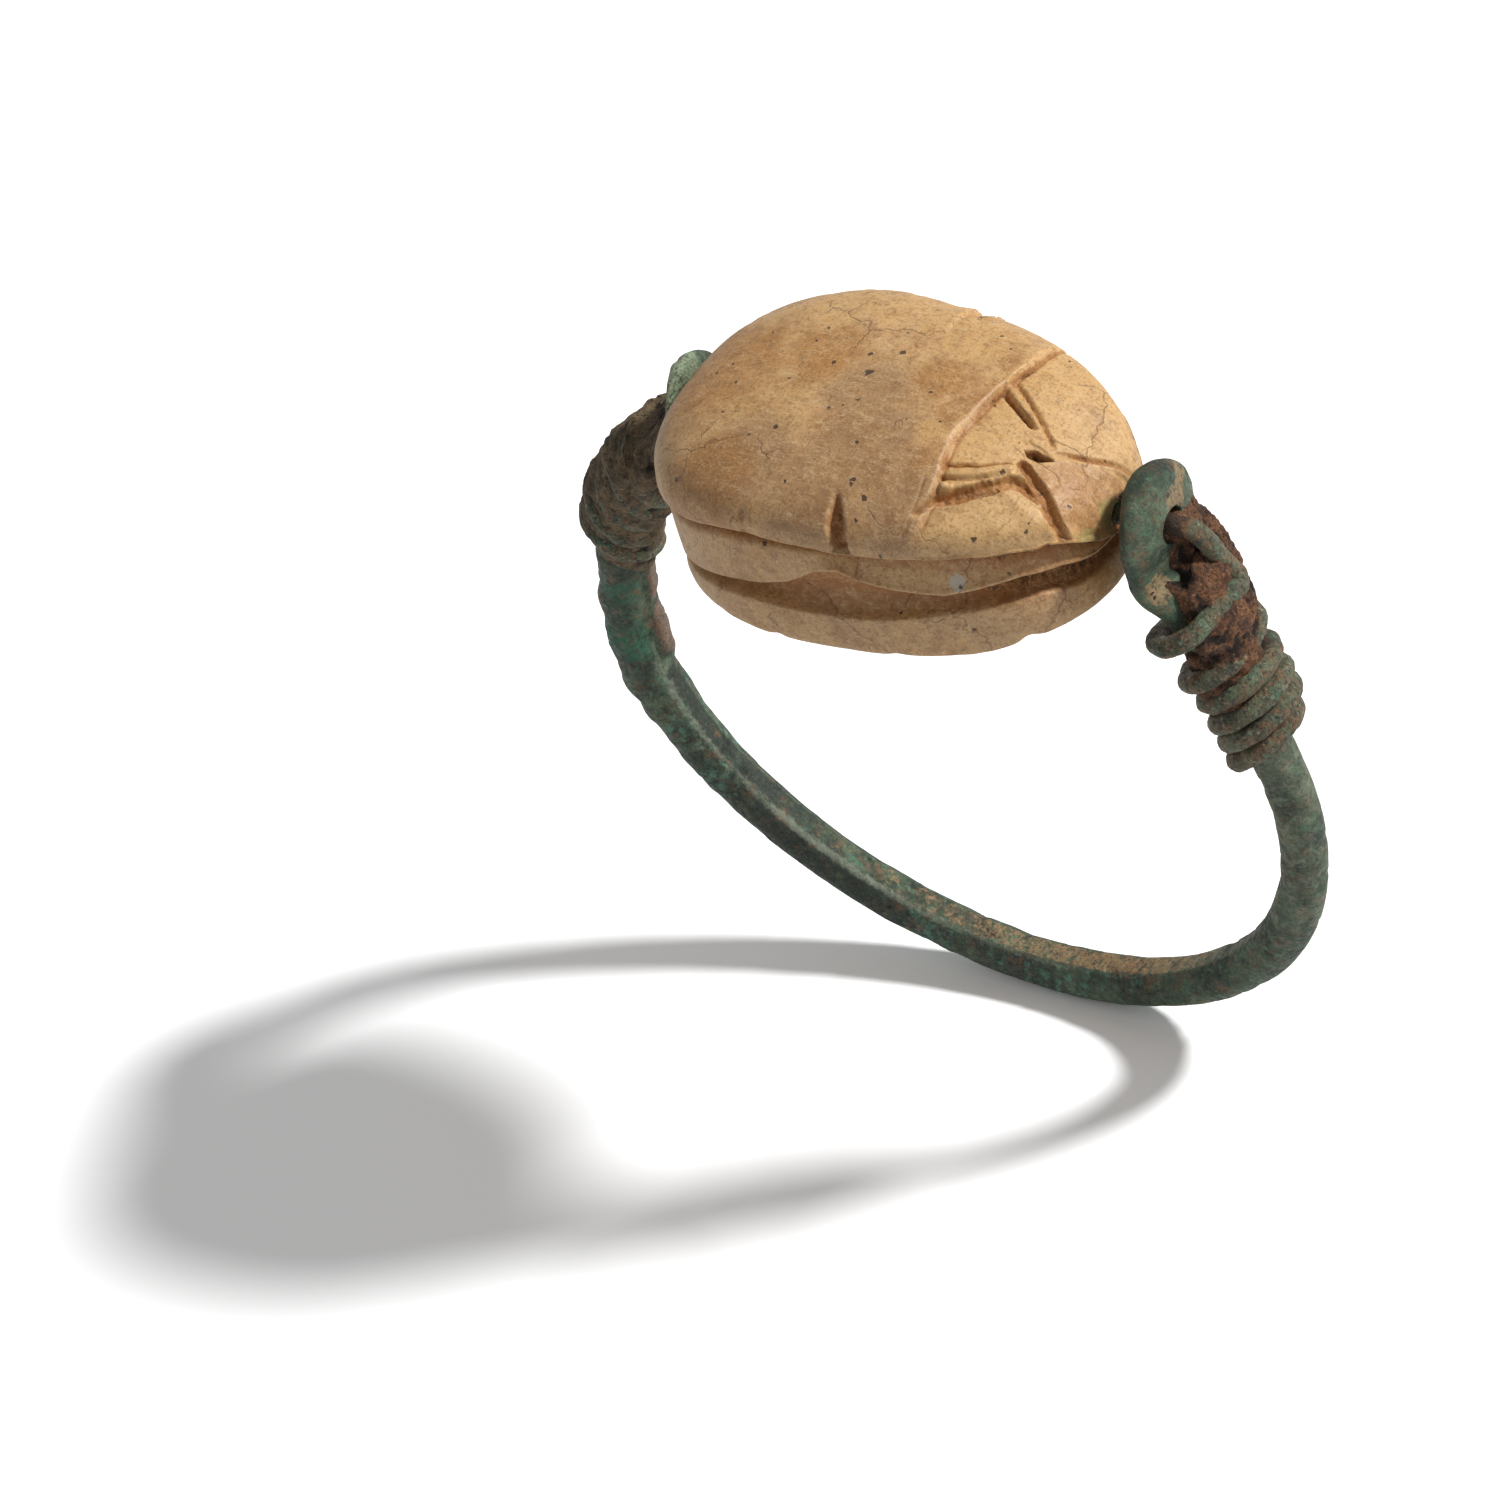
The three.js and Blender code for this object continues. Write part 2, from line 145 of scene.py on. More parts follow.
def rowBlend(count, places):  # Catmull-Rom weights of count control rows at fractional places
    places = np.clip(places, 0, count - 1 - 1e-9)
    first = np.floor(places).astype(int)
    t = places - first
    parts = [
        (-t + 2 * t ** 2 - t ** 3) / 2,
        (2 - 5 * t ** 2 + 3 * t ** 3) / 2,
        (t + 4 * t ** 2 - 3 * t ** 3) / 2,
        (-t ** 2 + t ** 3) / 2,
    ]
    weights = np.zeros((len(places), count))
    for offset, part in zip((-1, 0, 1, 2), parts):
        np.add.at(weights, (np.arange(len(places)), np.clip(first + offset, 0, count - 1)), part)
    return weights


def evenSpread(lengths, weights, count):  # places on a closed line where its weighted run is even
    run = np.concatenate([[0], np.cumsum(lengths * (weights[1:] + weights[:-1]) / 2)])
    targets = np.linspace(0, run[-1], count, endpoint=False)
    return np.interp(targets, run, np.arange(len(run)))


def gridNormals(points):  # unit normals of a grid whose columns close round
    down = np.gradient(points, axis=0)
    round_ = np.roll(points, -1, axis=1) - np.roll(points, 1, axis=1)
    normal = np.cross(round_, down)
    return normal / np.maximum(np.linalg.norm(normal, axis=-1, keepdims=True), 1e-12)


# Meshes

def skinMesh(name, points, fields):
    # A grid of rings whose columns close round, with a fan over each end, turned into a mesh in metres.
    rows, columns = points.shape[:2]
    poles = np.array([points[0].mean(axis=0), points[-1].mean(axis=0)])
    places = np.concatenate([points.reshape(-1, 3), poles]) + ringShift
    row, column = np.meshgrid(np.arange(rows - 1), np.arange(columns), indexing="ij")
    after = (column + 1) % columns
    quads = np.stack([row * columns + column, row * columns + after,
                      (row + 1) * columns + after, (row + 1) * columns + column], -1).reshape(-1, 4)
    ring = np.arange(columns)
    nextRing = (ring + 1) % columns
    start = np.stack([nextRing, ring, np.full(columns, rows * columns)], -1)
    last = (rows - 1) * columns
    end = np.stack([last + ring, last + nextRing, np.full(columns, rows * columns + 1)], -1)
    mesh = bpy.data.meshes.new(name)
    mesh.from_pydata((places * mm).tolist(), [], quads.tolist() + start.tolist() + end.tolist())
    for label, values in fields.items():
        full = np.concatenate([values.reshape(-1), [values[0].mean(), values[-1].mean()]])
        layer = mesh.attributes.new(label, "FLOAT", "POINT")
        layer.data.foreach_set("value", full.astype(np.float32))
    mesh.polygons.foreach_set("use_smooth", np.ones(len(mesh.polygons), bool))
    mesh.update()
    piece = bpy.data.objects.new(name, mesh)
    bpy.context.scene.collection.objects.link(piece)
    return piece


def cutWith(piece, cutter):
    # Subtracts the cutter from the piece for good and removes it. Both are in millimetres for the cut, as in
    # metres it left the cutter's own body in place.
    for shape in (piece, cutter):
        shape.data.transform(Matrix.Scale(1 / mm, 4))
        shape.data.update()
    modifier = piece.modifiers.new("cut", "BOOLEAN")
    modifier.operation = "DIFFERENCE"
    modifier.solver = "FAST"
    modifier.object = cutter
    evaluated = piece.evaluated_get(bpy.context.evaluated_depsgraph_get())
    mesh = bpy.data.meshes.new_from_object(evaluated)
    mesh.transform(Matrix.Scale(mm, 4))
    mesh.name = piece.name
    piece.modifiers.clear()
    piece.data = mesh
    bpy.data.objects.remove(cutter)
    mesh.polygons.foreach_set("use_smooth", np.ones(len(mesh.polygons), bool))


def axisRod(name, fromX, toX, diameter, sides):  # a plain rod along the swivel axis
    angle = np.linspace(0, 2 * np.pi, sides, endpoint=False)
    x = np.array([fromX, toX])[:, None] + 0 * angle
    ringY = diameter / 2 * np.cos(angle)[None] + 0 * x
    ringZ = boreHeight + diameter / 2 * np.sin(angle)[None] + 0 * x
    return skinMesh(name, np.stack([x, ringY, ringZ], -1), {})


# Materials

def linearColour(code):  # sRGB hex code to the linear colour that Blender mixes
    parts = [int(code[place:place + 2], 16) / 255 for place in (1, 3, 5)]
    return [((part + 0.055) / 1.055) ** 2.4 if part > 0.04045 else part / 12.92 for part in parts] + [1]


def addNode(tree, kind, settings=None, links=None, out=0):
    # Adds one node and returns one output of it, or the node where out is None. A numbered or capitalised
    # setting is a socket's value, "stops" are a ramp's colours, any other is a property. Links feed sockets.
    node = tree.nodes.new("ShaderNode" + kind)
    for key, value in (settings or {}).items():
        if key == "stops":
            ramp = node.color_ramp
            while len(ramp.elements) < len(value):
                ramp.elements.new(1)
            for element, (place, code) in zip(ramp.elements, value):
                element.position = place
                element.color = linearColour(code)
        elif isinstance(key, int) or key[0].isupper():
            isCode = isinstance(value, str) and value.startswith("#")
            node.inputs[key].default_value = linearColour(value) if isCode else value
        else:
            setattr(node, key, value)
    for key, socket in (links or {}).items():
        tree.links.new(socket, node.inputs[key])
    return node if out is None else node.outputs[out]


def newMaterial(name):
    material = bpy.data.materials.new(name)
    material.use_nodes = True
    material.node_tree.nodes.clear()
    return material, material.node_tree


fineGrain = {"Detail": 5, "Roughness": 0.7}  # the noise of stains and bumps
fieldPart = 0.65  # how much of a mesh's field is added to a stain's noise


def stained(tree, place, colour, stains):
    # Lays each stain over the colour: (code, grain in mm, low, high, most, field). It shows where the noise,
    # plus a part of the mesh's named field, passes from low to high.
    for code, size, low, high, most, field in stains:
        settings = {**fineGrain, "Scale": 1 / size, "Distortion": 0.3}
        value = addNode(tree, "TexNoise", settings, {"Vector": place})
        if field:
            mask = addNode(tree, "Attribute", {"attribute_name": field}, None, "Fac")
            value = addNode(tree, "Math", {"operation": "MULTIPLY_ADD", 1: fieldPart}, {0: mask, 2: value})
        share = addNode(tree, "MapRange", {1: low, 2: high, 4: most}, {0: value})
        colour = addNode(tree, "Mix", {"data_type": "RGBA", 7: code}, {0: share, 6: colour}, 2)
    return colour


def roughened(tree, place, parts):  # sum of noises, each (grain in mm, height in mm), for a bump
    total = None
    for size, height in parts:
        value = addNode(tree, "TexNoise", {**fineGrain, "Scale": 1 / size}, {"Vector": place})
        value = addNode(tree, "Math", {"operation": "MULTIPLY", 1: height}, {0: value})
        if total:
            value = addNode(tree, "Math", {"operation": "ADD"}, {0: value, 1: total})
        total = value
    return total


def mottled(name, patches, stops, stains):
    # Starts a material: a broad noise, a ramp of colours over it and the stains on top. Gives back the
    # material, its tree, the object's place in metres and in millimetres, the broad noise and the colour.
    material, tree = newMaterial(name)
    objectPlace = addNode(tree, "TexCoord", None, None, "Object")
    place = addNode(tree, "Mapping", {"Scale": [1 / mm] * 3}, {"Vector": objectPlace})
    broad = addNode(tree, "TexNoise", patches, {"Vector": place})
    colour = addNode(tree, "ValToRGB", {"stops": stops}, {0: broad})
    return material, tree, objectPlace, place, broad, stained(tree, place, colour, stains)


def surfaced(tree, settings, colour, relief, strength, links=None):
    # Ends a material: a bump whose relief is in millimetres, the shader and the output.
    bump = addNode(tree, "Bump", {"Strength": strength, "Distance": mm}, {"Height": relief})
    links = {"Base Color": colour, "Normal": bump, **(links or {})}
    shader = addNode(tree, "BsdfPrincipled", settings, links)
    addNode(tree, "OutputMaterial", None, {0: shader}, None)


# Scarab

scarab = {
    "tailX": -6.32, "headX": 9.75, "middleY": -0.25,
    "tailPower": 2.515, "headPower": 2.25,  # how square the dome's oval is at each end
    "nearWidth": 5.141, "farWidth": 5.261, "headTaper": 0.114,
    "top": 3.55, "domePower": 2.537, "crownShare": -0.085, "farLip": -0.278,
    "baseTail": -6.26, "baseHead": 9.1, "basePower": 2.35, "baseWidth": 5.4, "bottom": -2.6, "headRise": 0.2,
    # heights over the swivel axis along the side: place along x, height; nearLip is added on the near side
    "lip": [(-6.3, 0.75), (-5, 0.95), (-3.4, 1.2), (-2, 1.6), (-0.8, 1.78), (0.5, 1.72), (2.4, 1.6),
            (5, 1.55), (6.5, 1.42), (7.8, 1.12), (8.7, 0.7), (9.3, 0.1), (9.6, -0.1)],
    "nearLip": [(5.8, 0), (7.5, 0.2), (8.4, 0.6), (9.3, 1.8)],
    "crest": [(-6.3, -1.7), (-4.7, -1.35), (-3.3, -0.9), (-1.9, -0.55), (-0.65, -0.3), (0.5, 0.05),
              (1.75, 0.75), (2.6, 0.9), (3.1, 0.6), (4.4, 0.25), (5.85, 0.0), (7.3, 0.18), (8.1, 0.25),
              (9, 0.1), (9.6, -0.3)],
    "plate": [(-6.3, -2.0), (-4.8, -1.8), (-3.1, -1.4), (-1.5, -1.1), (0, -1.1), (3, -1.07), (4.4, -0.95),
              (6.1, -0.78), (7.5, -0.75), (8.6, -0.82), (9.6, -1.3)],
    "columns": 600, "domeRows": 76, "rimRows": 18, "sideRows": 50,
    "pole": (6.0, -0.7),  # where the dome's grid closes, on the smooth plate between the bars
    "firstRow": 0.012, "rimShare": 0.93, "rimCrowding": 2.2, "farSpread": 0.8, "farReach": (5, 12),
    "headCrowding": 1.25, "notchCrowding": 1.6,
    "boreDiameter": 1.4, "boreSides": 40, "boreOverrun": 1,
    # height, size, layers and seed of the noises that wear the whole surface; depth of chips at the lip
    "wear": [(0.018, 2.2, 3, 5), (0.005, 0.35, 2, 8)], "lipChips": 0.05,
    "sidePinkAndShade": 0.15,  # how much of the dome's pink tone and painted shade the side has
    # shares of the base's radius at the underside's rows, and its cut border, ring and rays
    "baseShares": (0.02, 0.12, 0.2, 0.24, 0.28, 0.36, 0.5, 0.64, 0.76, 0.82, 0.86, 0.9, 0.96),
    "border": 0.86, "ring": 0.24, "rays": 8, "engraving": 0.22,
}

carving = {
    # plan places on the dome, x then y
    "collar": [(5.45, 5.4), (5.45, 3.8), (5.48, 2.44), (5.28, 1.36), (5.1, 0.33), (4.97, -0.73),
               (4.93, -1.25), (5.04, -2.06), (5.2, -2.54), (5.3, -3.29), (5.28, -4.28), (5.1, -4.73),
               (4.9, -5.6)],
    "stepEdge": (-0.04, 0.05), "ledgeWidth": 0.09, "ledgeDepth": 0.12, "plateDepth": 0.23,
    "footPlace": 0.05, "footHalf": (0.14, 0.03), "footDepth": 0.05, "lineWobble": 0.03,
    # each cut: line, half width, depth, its darkening (dirt with painted shade in the cut), length of its
    # fading ends as a share
    "cuts": [
        ([(5.35, 1.12), (6.1, 0.72), (6.88, 0.3)], 0.12, 0.24, 0.95, 0.1),
        ([(5.45, 1.72), (6.3, 1.14), (7.0, 0.6), (7.75, -0.05)], 0.1, 0.17, 0.5, 0.1),
        ([(5.15, -2.22), (6.18, -1.86), (6.98, -1.33)], 0.085, 0.2, 0.85, 0.04),
        ([(5.15, -2.75), (6.2, -2.42), (6.98, -1.85)], 0.07, 0.08, 0.4, 0.1),
        ([(7.95, -0.2), (8.85, 0.3), (9.6, 1.05)], 0.1, 0.2, 0.8, 0.3),
        ([(4.9, -2.9), (5.02, -3.6), (4.95, -4.4), (4.8, -4.8)], 0.06, 0.05, 0.45, 0.1),
    ],
    # each bar: line, half width, height
    "bars": [
        ([(5.3, 1.5), (6.05, 0.98), (6.98, 0.38)], 0.15, 0.1),
        ([(5.4, -2.5), (6.3, -2.12), (7.05, -1.5)], 0.19, 0.13),
    ],
    "deepGroove": [(5.12, -4.05), (5.42, -3.5), (6.0, -3.08), (6.55, -2.66), (7.3, -1.95), (7.72, -1.84),
                   (8.35, -2.05), (8.9, -2.42)],
    "grooveHalf": (0.16, 0.36), "grooveDepth": 0.42,
    "knob": (5.55, -2.95), "knobHalf": (0.2, 0.16), "knobHeight": 0.24,
    "pit": [(7.05, -0.62), (7.4, -0.42), (8.09, -0.53), (7.67, -0.82), (7.3, -0.84)],
    "pitBar": [(7.15, -0.2), (7.58, -0.24), (8.05, -0.46)],
    "headNearGroove": [(7.3, -1.15), (7.75, -1.42), (8.3, -1.72), (8.95, -2.3)],
    "headPlate": [(7.35, -1.05), (7.65, -0.9), (8.05, -0.35), (8.85, 0.2), (9.7, 0.95), (10.2, 0),
                  (9.9, -1.4), (9.05, -2.3), (8.4, -1.9), (7.6, -1.4)],
    "headDepth": 0.15, "headNearDepth": 0.46, "pitDepth": 0.55,
    # depth of each notch at its inner end, and what its outer end adds
    "notchDepths": (0.08, 0.26), "farNotchDepths": (0.1, 0.3),
    "notch": [(2.34, -3.97), (2.33, -4.57), (2.34, -5.04), (2.43, -5.27), (2.67, -5.45), (2.9, -5.7),
              (3.14, -5.7), (3.08, -5.2), (2.92, -4.88), (2.69, -4.48)],
    "farNotch": [(2.2, 3.5), (2.1, 4.1), (1.95, 5.1), (3.0, 5.1), (2.85, 4.4), (2.5, 3.9)],
    "elytra": [(3.0, 5.2), (2.93, 4.21), (2.64, 4.02), (2.3, 3.61), (2.24, 3.01), (2.25, 2.29)],
    "elytraHeight": 0.07,
    "slitX": 3.12, "slitHalf": (0.07, 0.02), "slitDepth": 0.07,
    "chip": (-0.68, -5.3), "chipHalf": (0.13, 0.15), "chipDepth": 0.12,
    # dents along the base's near edge: place along x, half width, depth
    "baseChips": [(-0.6, 0.25, 0.1), (3.9, 0.3, 0.07), (8.0, 0.3, 0.2), (-3.2, 0.2, 0.05)],
    # dark pits: plan place and radius
    "pits": [(1.57, 1.46, 0.11), (-0.37, 0.45, 0.09), (1.0, 0.34, 0.13), (3.39, 0.14, 0.07),
             (0.94, -1.15, 0.05), (4.33, -0.87, 0.07), (2.2, -2.37, 0.08), (3.36, -4.11, 0.1),
             (-3.66, -4.44, 0.07), (-1.5, 1.21, 0.06), (-3.97, -0.1, 0.05), (-3.3, -0.91, 0.06),
             (-3.36, 1.39, 0.05), (7.81, -2.84, 0.12), (8.28, -2.92, 0.09), (8.91, -1.64, 0.16),
             (9.41, -0.01, 0.08), (3.99, 3.33, 0.06), (7.02, 1.44, 0.05)],
    # plan places and radii of the stone's patches: pinkish ones that also carry painted shade on the near
    # side, golden ones, and pale ones that also carry painted light
    "pinkAndShadePlaces": [(2.5, -2.4, 3.0), (1.6, -4.2, 2.6), (4.6, -3.9, 2.0), (-1.0, -3.6, 2.2),
                   (1.5, -0.6, 2.2)],
    "goldPlaces": [(-4.4, -0.4, 3.4), (-2.35, -4.5, 2.4), (-0.8, 0.9, 2.0), (3.3, 0.9, 1.2)],
    "paleAndLitPlaces": [(1.0, 3.6, 2.6), (3.6, 3.0, 2.0), (4.3, -1.4, 0.9), (-1.6, 3.2, 1.8), (6.6, -3.4, 1.6)],
    # a grey spot on the side, and copper salts at the head: x, y, height over the swivel axis, radius
    "chalkPlaces": [(6.1, -4.5, 0.45, 0.5)],
    "greenPlaces": [(9.5, -0.6, 0.6, 0.8), (9.3, -1.8, 0.5, 0.7), (8.9, -3.0, 0.2, 0.7)],
}


def ovalAt(t, tail, head, tailPower, headPower, nearWidth, farWidth):
    # Superellipse: x runs from tail to head, the half width narrows by headTaper towards the head.
    power = np.where(np.cos(t) < 0, tailPower, headPower)
    along = np.sign(np.cos(t)) * np.abs(np.cos(t)) ** (2 / power)
    across = np.sign(np.sin(t)) * np.abs(np.sin(t)) ** (2 / power) * (1 - scarab["headTaper"] * along)
    width = np.where(np.sin(t) < 0, nearWidth, farWidth)
    return np.stack([(tail + head) / 2 + (head - tail) / 2 * along, scarab["middleY"] + width * across], -1)


def domeOval(t):
    return ovalAt(t, scarab["tailX"], scarab["headX"], scarab["tailPower"], scarab["headPower"],
                  scarab["nearWidth"], scarab["farWidth"])


def lipHeight(t, x):
    near = tableAt(scarab["nearLip"], x) * np.maximum(-np.sin(t), 0)
    return tableAt(scarab["lip"], x) + scarab["farLip"] * np.maximum(np.sin(t), 0) + near


fineTurn = np.linspace(0, 2 * np.pi, 7201)
fineOval = domeOval(fineTurn)
domeLength = scarab["headX"] - scarab["tailX"]
crown = np.array([(scarab["headX"] + scarab["tailX"]) / 2 + scarab["crownShare"] * domeLength / 2,
                  scarab["middleY"]])
fineAngle = np.unwrap(np.arctan2(*(fineOval - crown).T[::-1]))
fineReach = np.hypot(*(fineOval - crown).T)
fineLip = lipHeight(fineTurn, fineOval[:, 0])


def domeHeight(x, y):
    # With s the share of the way from the crown to the rim, height = lip + (top - lip)(1 - s^q)^(1/q).
    angle = np.arctan2(y - crown[1], x - crown[0]) % (2 * np.pi)
    s = np.hypot(x - crown[0], y - crown[1]) / np.interp(angle, fineAngle, fineReach)
    lip = np.interp(angle, fineAngle, fineLip)
    rise = np.maximum(1 - s ** scarab["domePower"], 0) ** (1 / scarab["domePower"])
    return lip + (scarab["top"] - lip) * rise, s


def scarabOvals():
    # Dome and base ovals at the same columns, closer together round the head and at the near notch.
    x, y = fineOval.T
    weights = 1 + (scarab["headCrowding"] - 1) * smooth(2, 5.5, x)
    weights = weights + (scarab["notchCrowding"] - 1) * smooth(1.2, 0.4, np.abs(x - 2.7)) * (y < 0)
    lengths = np.hypot(*np.diff(fineOval, axis=0).T)
    places = evenSpread(lengths, weights, scarab["columns"])
    t = np.interp(places, np.arange(len(fineTurn)), fineTurn)
    base = ovalAt(t, scarab["baseTail"], scarab["baseHead"], scarab["basePower"], scarab["basePower"],
                  scarab["baseWidth"], scarab["baseWidth"])
    return t, domeOval(t), base


def scarabSide(t, dome, base):
    # Section rows from the base's edge up to the lip. Each control row is a blend of the two ovals, an inset
    # square to the oval, a height and its darkening (dirt with painted shade in the grooves); a Catmull-Rom
    # blend of them gives the grid.
    x, y = dome.T
    lip = lipHeight(t, x)
    crest = tableAt(scarab["crest"], x)
    plate = tableAt(scarab["plate"], x)
    bottom = scarab["bottom"] + scarab["headRise"] * smooth(6.2, 9.4, x)
    for place, half, depth in carving["baseChips"]:
        bottom = bottom + depth * np.exp(-((x - place) / half) ** 2) * (y < 0)
    fore = smooth(1.6, 2.9, x)
    gap = lip - crest
    # each row's last number darkens it: dirt with painted shade, most under the crest and just under the lip
    controls = [
        (0, 0.3, bottom, 0.1),
        (0, 0.08, bottom + 0.03, 0),
        (0, 0.0, bottom + 0.2, 0),
        (0, -0.02, mixed(bottom, plate, 0.5), 0),
        (0, 0.04, plate - 0.12, 0),
        (0, 0.13, plate - 0.01, 0.1),
        (0.1, 0.4, plate + 0.05, 0.4),
        (0.3, 0.64, mixed(plate, crest, 0.35), 0.62),
        (0.4, 0.52, mixed(plate, crest, 0.7), 0.66),
        (0.5, 0.2, crest - 0.12, 0.45),
        (0.5, 0.04, crest - 0.02, 0.05),
        (0.5, 0.03, crest + 0.07, 0),
        (0.6, mixed(0.06, 0.12, fore), crest + gap * mixed(0.3, 0.14, fore), 0.05),
        (0.7, mixed(0.1, 0.24, fore), crest + gap * mixed(0.58, 0.34, fore), 0.1),
        (0.8, mixed(0.16, 0.4, fore), crest + gap * mixed(0.76, 0.62, fore), mixed(0.15, 0.45, fore)),
        (0.9, mixed(0.44, 0.5, fore), crest + gap * mixed(0.84, 0.84, fore), 0.8),
        (1, 0.36, lip - 0.08, 0.6),
        (1, 0.06, lip - 0.03, 0.1),
        (1, 0.0, lip + 0.03, 0),
    ]
    edge = np.roll(dome, -1, axis=0) - np.roll(dome, 1, axis=0)
    outward = np.stack([edge[:, 1], -edge[:, 0]], -1)
    outward /= np.linalg.norm(outward, axis=-1, keepdims=True)
    rows = []
    for share, inset, height, dirt in controls:
        plan = mixed(base, dome, share) - outward * (np.zeros_like(x) + inset)[:, None]
        rows.append(np.concatenate([plan, height[:, None], (dirt + 0 * x)[:, None]], -1))
    places = np.linspace(0, len(rows) - 1, scarab["sideRows"])
    blended = np.tensordot(rowBlend(len(rows), places), np.array(rows), axes=(1, 0))
    slit = smooth(*carving["slitHalf"], np.abs(x - carving["slitX"])) * (y < 0)
    slit = slit * smooth(10.5, 12, places)[:, None]
    side = blended[..., :3]
    side[..., :2] -= outward * carving["slitDepth"] * slit[..., None]
    # the head end of the side band is darkened more: painted shade cast by the dome's lip
    dirt = blended[..., 3] + 0.4 * smooth(5.8, 8.2, x) * smooth(0, 6, places)[:, None]
    return side, np.maximum(dirt, 0.7 * slit)


def scarabDome(dome):
    # Rows run from the rim to the grid's pole. Far from the pole they spread by a power of their number.
    pole = np.array(scarab["pole"])
    reach = np.hypot(*(dome - pole).T)
    power = 1 + scarab["farSpread"] * smooth(*scarab["farReach"], reach)
    row = np.linspace(scarab["firstRow"], 1, scarab["domeRows"])[:, None]
    inner = scarab["rimShare"] * row ** power
    row = np.linspace(0, 1, scarab["rimRows"], endpoint=False)[1:, None] + 0 * reach
    outer = 1 - (1 - scarab["rimShare"]) * (1 - row) ** scarab["rimCrowding"]
    share = np.concatenate([inner, outer])[::-1]
    plan = pole + share[..., None] * (dome - pole)
    height, s = domeHeight(plan[..., 0], plan[..., 1])
    return np.concatenate([plan, height[..., None]], -1), s


def pastLine(x, y, line):  # distance along x past a line listed from the far side to the near side
    line = np.array(line)[::-1]
    return x - np.interp(y, line[:, 1], line[:, 0])


def roundSpot(x, y, place, half, power):  # 1 at a place in plan, close to 0 beyond its half widths
    away = ((x - place[0]) / half[0]) ** 2 + ((y - place[1]) / half[1]) ** 2
    return np.exp(-away ** power)


def collarCarving(x, y, s, rough):  # the step down at the collar, with a narrow ledge on the way
    past = pastLine(x, y, carving["collar"])
    fade = 1 - 0.75 * smooth(0.86, 1.0, s)
    ledge = smooth(*carving["stepEdge"], past) * carving["ledgeDepth"]
    below = carving["plateDepth"] - carving["ledgeDepth"]
    floor = smooth(*carving["stepEdge"], past - carving["ledgeWidth"]) * below
    deeper = mixed(0.55, 1, smooth(-5.0, -3.6, y)) * mixed(0.6, 1, smooth(4.9, 3.4, y))
    depth = -(ledge + floor) * deeper * fade
    fromFoot = np.abs(past - carving["ledgeWidth"] - carving["footPlace"])
    foot = smooth(*carving["footHalf"], fromFoot) * smooth(-5, -4, y)
    depth -= carving["footDepth"] * foot
    dirt = foot * (0.7 + 0.35 * rough)
    worn = smooth(0.04, 0.0, np.abs(past + 0.02)) * (0.45 + 0.7 * rough)
    return depth, dirt, worn


def cutCarving(x, y, rough, depth, dirt):  # thin cuts, the bars beside them, the deep groove and its knob
    for line, half, deep, dirtyAndShaded, ends in carving["cuts"]:
        away, share = lineField(x, y, line)
        run = smooth(0, ends, share) * smooth(0, ends, 1 - share)
        profile = np.clip(1 - (away / half) ** 1.6, 0, 1) * (0.35 + 0.65 * run)
        depth -= deep * profile
        dirt = np.maximum(dirt, dirtyAndShaded * profile)
    for line, half, height in carving["bars"]:
        away, _ = lineField(x, y, line)
        bar = smooth(half, half * 0.35, away)
        depth += height * bar
        dirt *= 1 - 0.7 * bar
    away, share = lineField(x, y, carving["deepGroove"])
    half = mixed(*carving["grooveHalf"], smooth(0, 0.3, share) * smooth(1.05, 0.6, share)) + 0.06 * rough
    into = smooth(half, half * 0.4, away)
    depth = np.minimum(depth, depth * 0.5 - into * (carving["grooveDepth"] + 0.12 * rough))
    dirt = np.maximum(dirt, into * (0.62 + 0.4 * rough))
    knob = roundSpot(x, y, carving["knob"], carving["knobHalf"], 1.5)
    return depth + carving["knobHeight"] * knob, dirt * (1 - 0.8 * knob)


def headCarving(x, y, rough, depth, dirt):  # the head's plate, the groove beside it, and the pit and its bar
    plate = smooth(-0.04, 0.1, insideField(x, y, carving["headPlate"]))
    depth = mixed(depth, -carving["headDepth"] + 0.06 * rough - 0.1 * smooth(8.6, 9.8, x), plate)
    dirt = mixed(dirt, 0.18 + 0.2 * rough, plate)
    away, _ = lineField(x, y, carving["headNearGroove"])
    into = smooth(0.26, 0.08, away)
    depth = np.minimum(depth, -into * (carving["headNearDepth"] + 0.08 * rough))
    dirt = np.maximum(dirt, 0.8 * into)
    into = smooth(-0.05, 0.07, insideField(x, y, carving["pit"]))
    depth = np.minimum(depth, -carving["pitDepth"] * into + 0.03 * rough)
    dirt = np.maximum(dirt, 1.1 * into)
    away, _ = lineField(x, y, carving["pitBar"])
    into = smooth(0.14, 0.06, away)
    return mixed(depth, -carving["headDepth"], into), dirt * (1 - 0.8 * into)


def notchCarving(x, y, depth, dirt):  # the notches in the near and far sides of the wing cases
    shallow, added = carving["notchDepths"]
    into = smooth(-0.02, 0.07, insideField(x, y, carving["notch"]))
    depth = mixed(depth, -shallow - added * smooth(-4.0, -4.9, y), into)
    dirt = np.maximum(dirt, into * (0.85 - 0.5 * smooth(-0.35, -0.05, x - 3.05)))
    shallow, added = carving["farNotchDepths"]
    into = smooth(-0.02, 0.09, insideField(x, y, carving["farNotch"]))
    depth = mixed(depth, -shallow - added * smooth(3.8, 5.0, y), into)
    return depth, np.maximum(dirt, 0.4 * into)


